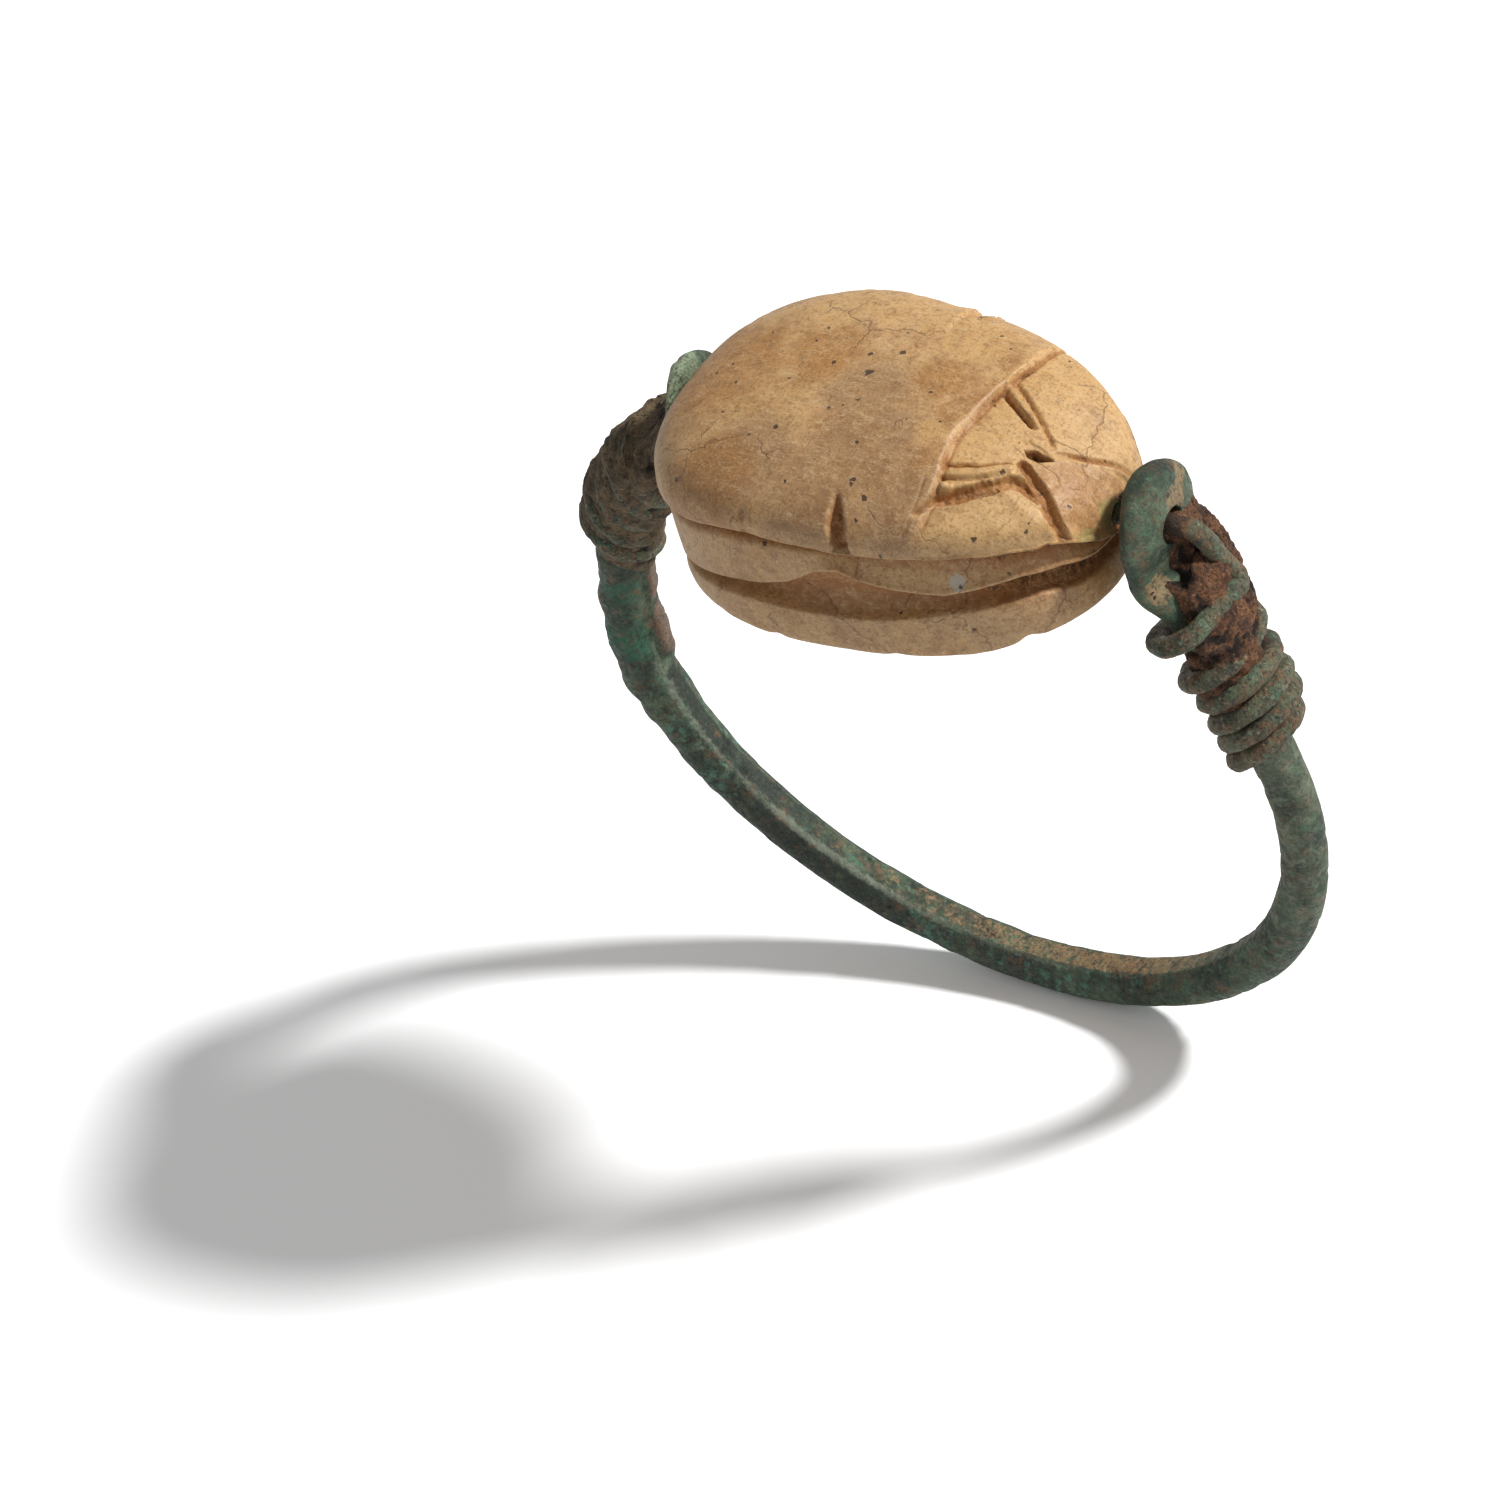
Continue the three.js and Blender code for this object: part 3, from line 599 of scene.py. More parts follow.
def domeCarving(x, y, s):
    # Height to add along the normal, darkening (dirt with painted shade in cuts and grooves) and wear, from
    # the named lines and plates. Later cuts go over earlier ones.
    flatPlaces = np.stack([x, y, 0 * x], -1)
    rough = layeredNoise(flatPlaces, 0.5, 3, 11)
    wobble = carving["lineWobble"] * latticeNoise(flatPlaces, 0.8, 21)
    depth, dirt, worn = collarCarving(x + wobble, y, s, rough)
    depth, dirt = cutCarving(x, y, rough, depth, dirt)
    depth, dirt = headCarving(x, y, rough, depth, dirt)
    depth, dirt = notchCarving(x, y, depth, dirt)
    beyond = pastLine(x + wobble, y, carving["elytra"])
    behind = smooth(0.04, -0.04, beyond) * smooth(2.2, 3.6, y) * smooth(1.2, 2.2, x)
    depth += carving["elytraHeight"] * behind
    worn = np.maximum(worn, smooth(0.06, 0.0, np.abs(beyond)) * smooth(2.2, 3.0, y))
    chip = roundSpot(x, y, carving["chip"], carving["chipHalf"], 2)
    grit = 0.05 * np.clip(dirt, 0, 1) * layeredNoise(flatPlaces, 0.25, 2, 15)
    depth += grit - carving["chipDepth"] * chip
    return depth, np.maximum(dirt, 0.4 * chip), worn


def scarabUnder(rim, columns):
    # The seal face, drawn in from the base's edge, with a plain cut border, ring and rays.
    middle = rim.mean(axis=0)
    shares = np.array(scarab["baseShares"])[:, None]
    under = middle + shares[..., None] * (rim - middle)
    turn = np.arange(columns) / columns * scarab["rays"]
    ray = smooth(0.1, 0.03, np.abs(turn % 1 - 0.5) / np.maximum(shares, 0.1))
    ray = ray * smooth(0.24, 0.3, shares) * smooth(0.8, 0.74, shares)
    rings = [smooth(0.03, 0.0, np.abs(shares - scarab[name])) for name in ("border", "ring")]
    cut = np.maximum(ray, np.maximum(*rings))
    under[..., 2] += scarab["engraving"] * cut
    return under, cut * 0.8


def regionShare(x, y, places):  # soft patches in plan
    flatPlaces = np.stack([x, y, 0 * x], -1)
    soft = [(px, py, 0, radius) for px, py, radius in places]
    return nearPlaces(flatPlaces, soft)


def makeScarab():
    t, dome, base = scarabOvals()
    side, sideDirtAndShade = scarabSide(t, dome, base)
    upper, s = scarabDome(dome)
    depth, dirt, worn = domeCarving(upper[..., 0], upper[..., 1], s)
    upper = upper + gridNormals(upper) * depth[..., None]
    under, underDirtAndShade = scarabUnder(side[0], scarab["columns"])
    points = np.concatenate([under, side, upper])
    lower = len(under) + len(side)
    normals = gridNormals(points)
    wear = summedNoise(points, scarab["wear"])
    rows = np.arange(len(points))[:, None]
    rim = smooth(9, 1, np.abs(rows - lower))
    chips = np.maximum(layeredNoise(points, 0.8, 3, 9), 0)
    points = points + normals * (wear - scarab["lipChips"] * rim * chips)[..., None]
    baseEdge = smooth(5, 1, np.abs(rows - len(under) - 3))
    onDome = np.concatenate([np.zeros((lower, scarab["columns"])), np.ones(s.shape)])
    x, y = points[..., 0], points[..., 1]
    fields = {
        # one field that darkens the stone: dirt with painted shade in the cuts, grooves, notches and pits
        "dirt": np.concatenate([underDirtAndShade, sideDirtAndShade, np.clip(dirt, 0, 1.2)]),
        "worn": np.maximum(np.concatenate([np.zeros((lower, worn.shape[1])), worn]),
                           0.5 * rim * chips + 0.3 * baseEdge * chips),
        # pink patches on the dome and a little on the side: pinkish tone with painted shade on the near side
        "pink": np.where(onDome > 0, regionShare(x, y, carving["pinkAndShadePlaces"]), scarab["sidePinkAndShade"]),
        "chalk": (1 - onDome) * nearPlaces(points, carving["chalkPlaces"]),
        "green": nearPlaces(points, carving["greenPlaces"]),
        "gold": onDome * regionShare(x, y, carving["goldPlaces"]),
        # pale on the head end and the bright patches: paler tone with painted light on the crown and far
        # side
        "bright": onDome * np.maximum(smooth(5.0, 5.4, x), regionShare(x, y, carving["paleAndLitPlaces"])),
        "plate": onDome * smooth(-0.05, 0.2, insideField(x, y, carving["headPlate"])),
    }
    points[..., 2] += boreHeight
    piece = skinMesh("scarab_stone", points, fields)
    tail, head = scarab["tailX"] - scarab["boreOverrun"], scarab["headX"] + scarab["boreOverrun"]
    cutWith(piece, axisRod("bore_cutter", tail, head, scarab["boreDiameter"], scarab["boreSides"]))
    return piece


# Steatite: a soft stone whose cut and rubbed surface is waxy and mottled, fired tan with paler wear,
# brown earth and painted shade in the cuts, and small dark inclusions.
steatite = {
    "patches": {"Scale": 1 / 3.0, "Detail": 4, "Roughness": 0.6, "Distortion": 0.6},
    "stops": [(0.34, "#A97A45"), (0.46, "#CBA069"), (0.56, "#CAA374"), (0.7, "#AF8A61")],
    "stains": [
        ("#C9A26C", 1.6, 0.45, 0.64, 0.7, None),
        ("#A9764A", 1.1, 0.5, 0.7, 0.55, None),
        # darker brown over the pink patches: pinkish tone and painted shade on the near side of the dome
        ("#8E6B4C", 0.7, 0.45, 1.3, 0.8, "pink"),
        ("#A36E33", 0.6, 0.65, 1.15, 0.65, "gold"),
        # paler over the bright patches: paler tone with painted light on the crown and far side
        ("#D0A56A", 0.9, 0.8, 1.2, 0.7, "bright"),
        ("#AC7C4E", 0.5, 0.8, 1.15, 0.8, "plate"),
        ("#8D6136", 0.4, 0.5, 0.66, 0.55, None),
        ("#D4B182", 0.28, 0.54, 0.7, 0.5, None),
        ("#74502F", 0.1, 0.5, 0.66, 0.6, None),
        ("#DBBE90", 0.07, 0.55, 0.7, 0.5, None),
        # brown, then near black, over the darkening field: dirt with painted shade in the cuts, grooves and
        # under the lip
        ("#9A632F", 0.25, 0.62, 0.95, 0.85, "dirt"),
        ("#432814", 0.18, 1.0, 1.25, 0.9, "dirt"),
        ("#DCC193", 0.2, 0.85, 1.15, 0.45, "worn"),
        ("#B6B0A2", 0.3, 0.85, 0.98, 0.85, "chalk"),
        ("#8F8B52", 0.3, 0.8, 1.1, 0.6, "green"),
    ],
    "fibreStretch": (0.9, 4.5, 2.0), "fibreTurn": (0.1, 0.2, 0.6), "fibreSize": 1.3,
    "crackSize": 2.8, "crackWidth": 0.008,
    "speckSize": 0.7, "bumps": [(0.09, 0.018), (0.4, 0.02)],
}


def steatiteMaterial():
    material, tree, objectPlace, place, patches, colour = mottled(
        "carved steatite", steatite["patches"], steatite["stops"], steatite["stains"])
    # scratches and fibres are the thin contour lines of a stretched noise
    scale = [part / mm for part in steatite["fibreStretch"]]
    drawn = addNode(tree, "Mapping", {"Scale": scale, "Rotation": steatite["fibreTurn"]},
                    {"Vector": objectPlace})
    fibre = addNode(tree, "TexNoise", {"Scale": 1 / steatite["fibreSize"], "Detail": 4, "Roughness": 0.6},
                    {"Vector": drawn})
    fibre = addNode(tree, "Math", {"operation": "SUBTRACT", 1: 0.5}, {0: fibre})
    fibre = addNode(tree, "Math", {"operation": "ABSOLUTE"}, {0: fibre})
    fibre = addNode(tree, "MapRange", {1: 0.012, 2: 0.003, 4: 0.4}, {0: fibre})
    colour = addNode(tree, "Mix", {"data_type": "RGBA", 7: "#DDC196"}, {0: fibre, 6: colour}, 2)
    # hairline cracks are the edges of large distorted cells, shown where a patchy noise is high
    bend = addNode(tree, "TexNoise", {"Scale": 1 / 0.6, "Detail": 4}, {"Vector": place}, 1)
    bend = addNode(tree, "VectorMath", {"operation": "SCALE", "Scale": 0.9}, {0: bend})
    bent = addNode(tree, "VectorMath", {"operation": "ADD"}, {0: place, 1: bend})
    crack = addNode(tree, "TexVoronoi", {"feature": "DISTANCE_TO_EDGE", "Scale": 1 / steatite["crackSize"]},
                    {"Vector": bent})
    width = steatite["crackWidth"]
    crack = addNode(tree, "MapRange", {1: width * 1.6, 2: width * 0.5}, {0: crack})
    shown = addNode(tree, "MapRange", {1: 0.5, 2: 0.57}, {0: patches})
    crack = addNode(tree, "Math", {"operation": "MULTIPLY"}, {0: crack, 1: shown})
    crack = addNode(tree, "Math", {"operation": "MULTIPLY", 1: 0.55}, {0: crack})
    colour = addNode(tree, "Mix", {"data_type": "RGBA", 7: "#7A5230"}, {0: crack, 6: colour}, 2)
    # dark inclusions: the named pits, and specks in some cells of a cell pattern
    specks = addNode(tree, "TexVoronoi", {"Scale": 1 / steatite["speckSize"]}, {"Vector": place}, None)
    picked = addNode(tree, "SeparateColor", None, {0: specks.outputs["Color"]})
    limit = addNode(tree, "MapRange", {1: 0.35, 2: 1.0, 3: 0.001, 4: 0.14}, {0: picked})
    nearest = addNode(tree, "Math", {"operation": "DIVIDE"}, {0: specks.outputs["Distance"], 1: limit})
    for x, y, radius in carving["pits"]:
        height, _ = domeHeight(x, y)
        centre = np.array([x, y, float(height) + boreHeight]) + ringShift
        away = addNode(tree, "VectorMath", {"operation": "DISTANCE", 1: centre.tolist()}, {0: place}, 1)
        away = addNode(tree, "Math", {"operation": "DIVIDE", 1: radius}, {0: away})
        nearest = addNode(tree, "Math", {"operation": "MINIMUM"}, {0: nearest, 1: away})
    ragged = addNode(tree, "TexNoise", {"Scale": 1 / 0.12, "Detail": 3}, {"Vector": place})
    ragged = addNode(tree, "MapRange", {1: 0.3, 2: 0.7, 3: -0.5, 4: 0.5}, {0: ragged})
    ragged = addNode(tree, "Math", {"operation": "ADD"}, {0: nearest, 1: ragged})
    spot = addNode(tree, "MapRange", {1: 1.1, 2: 0.75, 4: 0.85}, {0: ragged})
    colour = addNode(tree, "Mix", {"data_type": "RGBA", 7: "#34231A"}, {0: spot, 6: colour}, 2)
    relief = roughened(tree, place, steatite["bumps"])
    sunk = addNode(tree, "Math", {"operation": "ADD"}, {0: spot, 1: crack})
    sunk = addNode(tree, "Math", {"operation": "MULTIPLY", 1: -0.04}, {0: sunk})
    relief = addNode(tree, "Math", {"operation": "ADD"}, {0: relief, 1: sunk})
    roughness = addNode(tree, "MapRange", {1: 0.3, 2: 0.7, 3: 0.42, 4: 0.6}, {0: patches})
    dull = addNode(tree, "Attribute", {"attribute_name": "dirt"}, None, "Fac")
    roughness = addNode(tree, "Math", {"operation": "MAXIMUM"}, {0: roughness, 1: dull})
    surfaced(tree, {"IOR": 1.54}, colour, relief, 0.8, {"Roughness": roughness})
    return material


# Rod

rod = {
    "radius": 12.77, "waves": (-0.013, 0.01, -0.016, -0.013), "diameter": 1.52,
    "arcDegrees": (184, 356), "arcPoints": 15,
    # each end's disc: middle, radius, width as a share of it, thickness, length of its neck and diameter of
    # its hole; foot, shoulder and shank lead the rod's line from the disc down to the arc
    "left": {
        "x": -6.65, "aside": 0.4, "radius": 2.1, "wide": 0.8, "thickness": 0.5, "neck": 2.3, "hole": 0.76,
        "foot": 0.4, "shoulder": (2.43, 2.79), "shank": [(0.95, 0.14), (0.8145, 0.416), (0.655, 0.603)],
    },
    "right": {
        "x": 10.65, "aside": 0, "radius": 1.88, "wide": 1.05, "thickness": 1.15, "neck": 6.0, "hole": 1.2,
        "foot": -0.06, "shoulder": (0.46, 2.56), "shank": [(0.741, 0.1), (0.548, 0.36), (0.3916, 0.552)],
    },
    "footDrop": 0.85, "rimRound": 0.3, "endGap": 0.012, "holeOverrun": 0.6, "holeSides": 32,
    "flatRound": 0.15,  # share of its curve that the flattened side keeps
    "rust": [(0.03, 3.0, 2, 31), (0.016, 0.8, 3, 34)], "pitDepth": 0.035,
    # share of the radius at which the finger side is hammered flat, and how far that side swells, by run
    # from the left end
    "innerFlat": [(14, 0.97), (24, 0.9), (32, 0.86), (44, 0.86), (50, 0.97)],
    "innerSwell": [(17, 0), (24, 0.28), (44, 0.28), (51, 0)],
    "stationStep": 0.095, "sides": 72,
    # corrosion that thickens the left shank: run from the left end, millimetres
    "growth": [(10, 0), (11.5, 0.2), (15, 0.24), (18.5, 0.2), (24, 0.06), (28, 0)],
    "innerLedge": [(10.8, 0), (11.2, 0.2), (13.2, 0.24), (13.8, 0.1), (15, 0.3), (16.4, 0.28), (17, 0)],
    "ledgeAngle": math.radians(160),  # section angle from the outward side, towards +y
    # colours by run from the left end: run, strength
    "emerald": [(11.8, 0), (12.8, 0.8), (14.2, 0.5), (15.2, 0.95), (16.8, 0.5), (18, 0)],
    "grey": [(0, 0.2), (3, 0), (44, 0), (48, 0.4), (57, 0.5), (61, 0.3), (62, 0)],
    "outerDark": [(15.4, 0), (16, 0.9), (17, 0.6), (20, 0.5), (24, 0.9), (29, 0.85), (31, 0.6), (34, 0.75),
                  (37, 0.6), (44, 0.5), (46, 0.3), (50, 0)],
    "turquoise": [(17, 0), (18, 0.5), (22.5, 0.6), (24, 0.2), (29, 0.2), (30.5, 0.7), (33, 0.45),
                  (36.5, 0.6), (39, 0.45), (43, 0.3), (46, 0)],
    "innerTan": [(19, 0), (25, 0.45), (29, 0.6), (32, 0.75), (41, 0.9), (44, 0.6), (48, 0.3), (51, 0)],
    "innerOrange": [(33, 0), (35, 0.6), (40, 0.75), (42, 0)],
    "innerDark": [(16, 0), (18, 1), (24, 1), (28, 0.5), (31, 0.3), (42, 0.2), (44, 0)],
    # the pale line along the flattened side's edge is a painted highlight
    "edgeHighlight": [(15, 0), (18, 0.7), (23, 0.6), (25, 1), (29, 0.9), (33, 0.6), (42, 0.4), (45, 0)],
    # places with their own colour: x, y, z, radius
    "tanPlaces": [(11.2, 0.5, 11.75, 1.0), (11.1, 1.3, 12.2, 0.7), (11.0, -1.3, 9.6, 0.8),
                  (12.3, -0.6, 3.6, 0.7)],
    "palePlaces": [(-6.9, 0.2, 13.0, 1.5), (-6.9, -1.2, 12.2, 1.3)],
    "darkPlaces": [(10.6, 1.0, 13.0, 1.1), (10.2, -1.6, 10.2, 0.8)],
}


def hoopPlace(angle):  # circle whose radius waves in twos and threes
    two, twoSin, three, threeSin = rod["waves"]
    radius = rod["radius"] * (1 + two * np.cos(2 * angle) + twoSin * np.sin(2 * angle)
                              + three * np.cos(3 * angle) + threeSin * np.sin(3 * angle))
    return np.stack([radius * np.cos(angle), 0 * angle, radius * np.sin(angle)], -1)


def smoothPath(points, perSpan=120):  # centripetal Catmull-Rom curve through points
    points = np.array(points, float)
    points = np.concatenate([[2 * points[0] - points[1]], points, [2 * points[-1] - points[-2]]])
    steps = np.maximum(np.linalg.norm(np.diff(points, axis=0), axis=1), 1e-9)[:, None] ** 0.5
    before, here, after, beyond = points[:-3], points[1:-2], points[2:-1], points[3:]
    d0, d1, d2 = steps[:-2], steps[1:-1], steps[2:]
    startSlope = ((here - before) / d0 - (after - before) / (d0 + d1) + (after - here) / d1) * d1
    endSlope = ((after - here) / d1 - (beyond - here) / (d1 + d2) + (beyond - after) / d2) * d1
    u = np.linspace(0, 1, perSpan, endpoint=False)[:, None, None]
    cubic = 2 * here - 2 * after + startSlope + endSlope
    square = -3 * here + 3 * after - 2 * startSlope - endSlope
    path = ((cubic * u + square) * u + startSlope) * u + here
    return np.concatenate([path.transpose(1, 0, 2).reshape(-1, 3), points[-2:-1]])


def pathRun(path):
    return np.concatenate([[0], np.cumsum(np.linalg.norm(np.diff(path, axis=0), axis=1))])


def alongPath(path, distances):
    run = pathRun(path)
    return np.stack([np.interp(distances, run, path[:, axis]) for axis in range(3)], -1)


def terminalPlaces(disc):
    side = np.sign(disc["x"])
    aside = disc["aside"]
    foot = disc["x"] + side * disc["foot"] * disc["radius"]
    return [(disc["x"], aside, boreHeight + disc["radius"]),
            (disc["x"], aside, boreHeight),
            (foot, aside / 2, boreHeight - disc["radius"] * rod["footDrop"]),
            (disc["x"] + side * disc["shoulder"][0], 0, boreHeight - disc["shoulder"][1])]


def shankPlaces(disc):
    rim = np.sign(disc["x"]) * rod["radius"]
    return [(mixed(disc["x"], rim, out), 0, up * boreHeight) for out, up in disc["shank"]]


def rodPath():
    low, high = np.radians(rod["arcDegrees"])
    arc = hoopPlace(np.linspace(low, high, rod["arcPoints"]))
    left, right = rod["left"], rod["right"]
    return smoothPath([*terminalPlaces(left), *shankPlaces(left)[::-1], *arc,
                       *shankPlaces(right), *terminalPlaces(right)[::-1]])


rodLine = rodPath()
rodLength = pathRun(rodLine)[-1]


def rodStations(distances):
    # Centre, outward direction, half width along y, half thickness and neck share at places along the rod.
    distances = np.asarray(distances, float)
    centre = alongPath(rodLine, distances)
    along = alongPath(rodLine, distances + 0.05) - alongPath(rodLine, distances - 0.05)
    along /= np.linalg.norm(along, axis=-1, keepdims=True)
    outward = np.stack([along[..., 2], 0 * along[..., 0], -along[..., 0]], -1)
    onLeft = distances < rodLength / 2
    fromEnd = np.where(onLeft, distances, rodLength - distances)
    size = {key: np.where(onLeft, rod["left"][key], rod["right"][key])
            for key in ("radius", "wide", "thickness", "neck")}
    neck = smooth(0, 1, (fromEnd - size["radius"]) / (size["neck"] + size["radius"]))
    before = np.clip(fromEnd, 0, size["radius"])
    round_ = np.sqrt(np.maximum(size["radius"] ** 2 - (size["radius"] - before) ** 2, 0))
    rim = np.clip(fromEnd / (rod["rimRound"] * size["thickness"]), 0, 1)
    edge = np.sqrt(1 - (1 - rim) ** 2)
    radius = rod["diameter"] / 2
    wide = mixed(round_ * size["wide"], radius, neck)
    thick = mixed(size["thickness"] / 2 * edge, radius, neck)
    return centre, outward, wide, thick, neck


def makeHoop():
    # Section: ellipse of half width and half thickness, its finger side pressed flat, rough with corrosion.
    distances = np.linspace(rod["endGap"], rodLength - rod["endGap"], int(rodLength / rod["stationStep"]))
    centre, outward, wide, thick, neck = rodStations(distances)
    angle = np.linspace(0, 2 * np.pi, rod["sides"], endpoint=False)[None]
    out = np.cos(angle) + 0 * wide[:, None]
    across = np.sin(angle) + 0 * wide[:, None]
    flat = tableAt(rod["innerFlat"], distances)[:, None]
    pressed = np.where(out < -flat, -flat + (out + flat) * rod["flatRound"], out)
    pressed = np.where(pressed < 0, pressed * (1 + tableAt(rod["innerSwell"], distances)[:, None]), pressed)
    onShank = smooth(0.5, 1, neck)[:, None]
    out = mixed(out, pressed, onShank)
    plain = centre[:, None] + outward[:, None] * (thick[:, None] * out)[..., None]
    plain[..., 1] += wide[:, None] * across
    normals = gridNormals(plain)
    run = distances[:, None] + 0.5 * latticeNoise(plain, 1.2, 71)
    inner = smooth(-flat + 0.06, -flat - 0.03, np.cos(angle)) * onShank
    outer = 1 - inner
    # pale line along the near edge of the flattened side: a painted highlight
    line = smooth(0.2, 0.0, np.abs(np.cos(angle) + flat - 0.05)) * smooth(0.4, -0.2, np.sin(angle)) * onShank
    byRun = {name: tableAt(rod[name], run) for name in (
        "emerald", "grey", "outerDark", "innerDark", "turquoise", "innerTan", "innerOrange", "edgeHighlight")}
    growth = tableAt(rod["growth"], distances)[:, None] * (0.6 + 0.4 * np.cos(angle))
    growth = growth * (1 + 0.5 * layeredNoise(plain, 1.0, 3, 37))
    ledge = tableAt(rod["innerLedge"], run) * smooth(0.84, 0.96, np.cos(angle - rod["ledgeAngle"]))
    rust = summedNoise(plain, rod["rust"]) * mixed(2, 1, neck)[:, None]
    pits = smooth(0.4, 0.75, layeredNoise(plain, 0.6, 2, 41)) * (1 + 1.5 * inner * byRun["innerDark"])
    points = plain + normals * (rust + growth + ledge - rod["pitDepth"] * pits)[..., None]
    dark = np.maximum(byRun["outerDark"] * outer, byRun["innerDark"] * inner)
    fields = {
        "line": line * byRun["edgeHighlight"],
        "pits": np.clip(pits, 0, 1) * 0.5,
        "emerald": byRun["emerald"] * outer,
        "grey": byRun["grey"],
        "dark": np.maximum(dark, nearPlaces(points, rod["darkPlaces"])),
        "turquoise": byRun["turquoise"] * outer,
        "tan": np.maximum(byRun["innerTan"] * inner, nearPlaces(points, rod["tanPlaces"])),
        "orange": byRun["innerOrange"] * inner,
        "brown": smooth(0.05, 0.2, ledge),
        "pale": nearPlaces(points, rod["palePlaces"]),
    }
    piece = skinMesh("hoop_rod", points, fields)
    for disc in (rod["left"], rod["right"]):
        reach = disc["thickness"] / 2 + rod["holeOverrun"]
        start, end = disc["x"] - reach, disc["x"] + reach
        cutWith(piece, axisRod("hole_cutter", start, end, disc["hole"], rod["holeSides"]))
    return piece


# Corroded copper alloy: green and black-brown mineral crusts over the metal, dull and grainy.
patina = {
    "patches": {"Scale": 1 / 1.4, "Detail": 6, "Roughness": 0.7, "Distortion": 0.5},
    "grain": {"Scale": 1 / 0.15, "Detail": 4},
    "hoopStops": [(0.3, "#1C2820"), (0.43, "#354636"), (0.53, "#4C6049"), (0.64, "#68775E"),
                  (0.8, "#8B9478")],
    "hoopStains": [
        ("#5F4D36", 0.7, 0.52, 0.62, 0.65, None),
        ("#56836A", 0.45, 0.55, 0.65, 0.6, None),
        ("#868A74", 0.5, 0.72, 1.0, 0.75, "grey"),
        ("#252E28", 0.5, 0.88, 1.05, 0.85, "dark"),
        ("#5E9480", 0.35, 0.88, 1.0, 0.8, "turquoise"),
        ("#1E6A50", 0.35, 0.9, 1.05, 0.75, "emerald"),
        ("#93A283", 0.35, 0.85, 1.0, 0.85, "pale"),
        ("#A08560", 0.25, 0.9, 1.05, 0.8, "tan"),
        ("#A0683C", 0.2, 0.95, 1.1, 0.8, "orange"),
        ("#7D6350", 0.25, 0.8, 1.0, 0.85, "brown"),
        ("#7E5B3F", 0.55, 0.56, 0.65, 0.65, None),
        ("#2A3C30", 0.8, 0.54, 0.62, 0.7, None),
        ("#B4B498", 0.12, 0.55, 0.66, 0.65, None),
        ("#101411", 0.12, 0.5, 0.64, 0.85, None),
        ("#161A16", 0.2, 0.75, 0.95, 0.8, "pits"),
        # pale where the line field is high: a painted highlight along the flattened side's edge
        ("#8F9583", 0.2, 0.75, 1.1, 0.7, "line"),
    ],
    "hoopBumps": [(0.1, 0.06), (0.35, 0.08)],
    "wireStops": [(0.3, "#353227"), (0.43, "#504F3C"), (0.55, "#676B50"), (0.68, "#7E8068"),
                  (0.85, "#9C9C80")],
    "wireStains": [
        ("#4B7D66", 0.6, 0.54, 0.64, 0.5, None),
        ("#7C5B3E", 0.4, 0.48, 0.58, 0.8, None),
        ("#AEB096", 0.14, 0.56, 0.68, 0.65, None),
        ("#151712", 0.12, 0.48, 0.64, 0.85, None),
        # brown, then near black, where the wire lies close to the rod: earth with painted shade in the
        # crevices
        ("#74502F", 0.25, 0.68, 0.9, 0.9, "low"),
        ("#2B1D14", 0.2, 0.94, 1.15, 0.9, "low"),
    ],
    "wireBumps": [(0.1, 0.08), (0.3, 0.12)],
}


def patinaMaterial(owner):
    stops, stains, bumps = [patina[owner + part] for part in ("Stops", "Stains", "Bumps")]
    material, tree, _, place, _, colour = mottled(owner + " patina", patina["patches"], stops, stains)
    relief = roughened(tree, place, bumps)
    grain = addNode(tree, "TexNoise", patina["grain"], {"Vector": place})
    roughness = addNode(tree, "MapRange", {1: 0.35, 2: 0.65, 3: 0.4, 4: 0.8}, {0: grain})
    surfaced(tree, {"Metallic": 0.1, "IOR": 1.5}, colour, relief, 0.9, {"Roughness": roughness})
    return material


# Wire

wire = {
    "diameter": 0.7, "sides": 16, "step": 0.07, "clearance": 0.02, "turnSteps": 48,
    "inHole": 0.3,  # how far inside the disc each winding's path starts
    "pathStride": 4, "spanSteps": 8, "smoothings": 3, "uneven": 0.08,
    "rust": [(0.035, 0.7, 3, 51), (0.02, 0.25, 2, 55)],
    "earthAndShadeWithin": (1.32, 0.95),  # distances from the rod's line where the wire's earth and painted shade begin and are full
    # turns are counted where the wire stands out on the left in a view from the front; each turn number has
    # the run from the rod's end and how loose the wire lies there, and startDegrees is the section angle of
    # turn 0. lean: how far the turns lie up the shank on the side at leanDegrees
    "right": {
        "lead": [(0.15, 0.02, -0.03), (0.5, 0.2, -0.35), (0.68, 0.5, -1.1), (0.68, 0.8, -2.1)],
        "startDegrees": 150, "lean": 0.42, "leanDegrees": 50,
        "turns": [(-0.5, 5.3, 0.1), (0, 6.0, 0.25), (0.5, 7.1, 0.05), (1, 7.95, 0.16), (1.5, 8.15, 0.2),
                  (2, 9.05, 0), (2.5, 8.95, 0.28), (3, 10.0, 0), (3.5, 9.7, 0.28), (4, 10.85, 0),
                  (4.5, 10.55, 0.05), (5, 11.65, 0), (5.3, 11.5, -0.35)],
    },
    "left": {
        "lead": [(-0.45, -0.1, -0.3), (-1.1, -0.3, -1.1)],
        "startDegrees": 30, "lean": 0, "leanDegrees": 0,
        "turns": [(0, 5.2, 0), (0.5, 6.6, -0.05), (1, 6.3, -0.05), (1.5, 7.8, -0.05), (2, 7.4, -0.05),
                  (2.5, 8.9, -0.05), (3, 8.5, -0.05), (3.5, 10.0, -0.05), (4, 9.5, -0.05),
                  (4.5, 10.9, -0.05), (4.8, 11.0, -0.35)],
    },
}


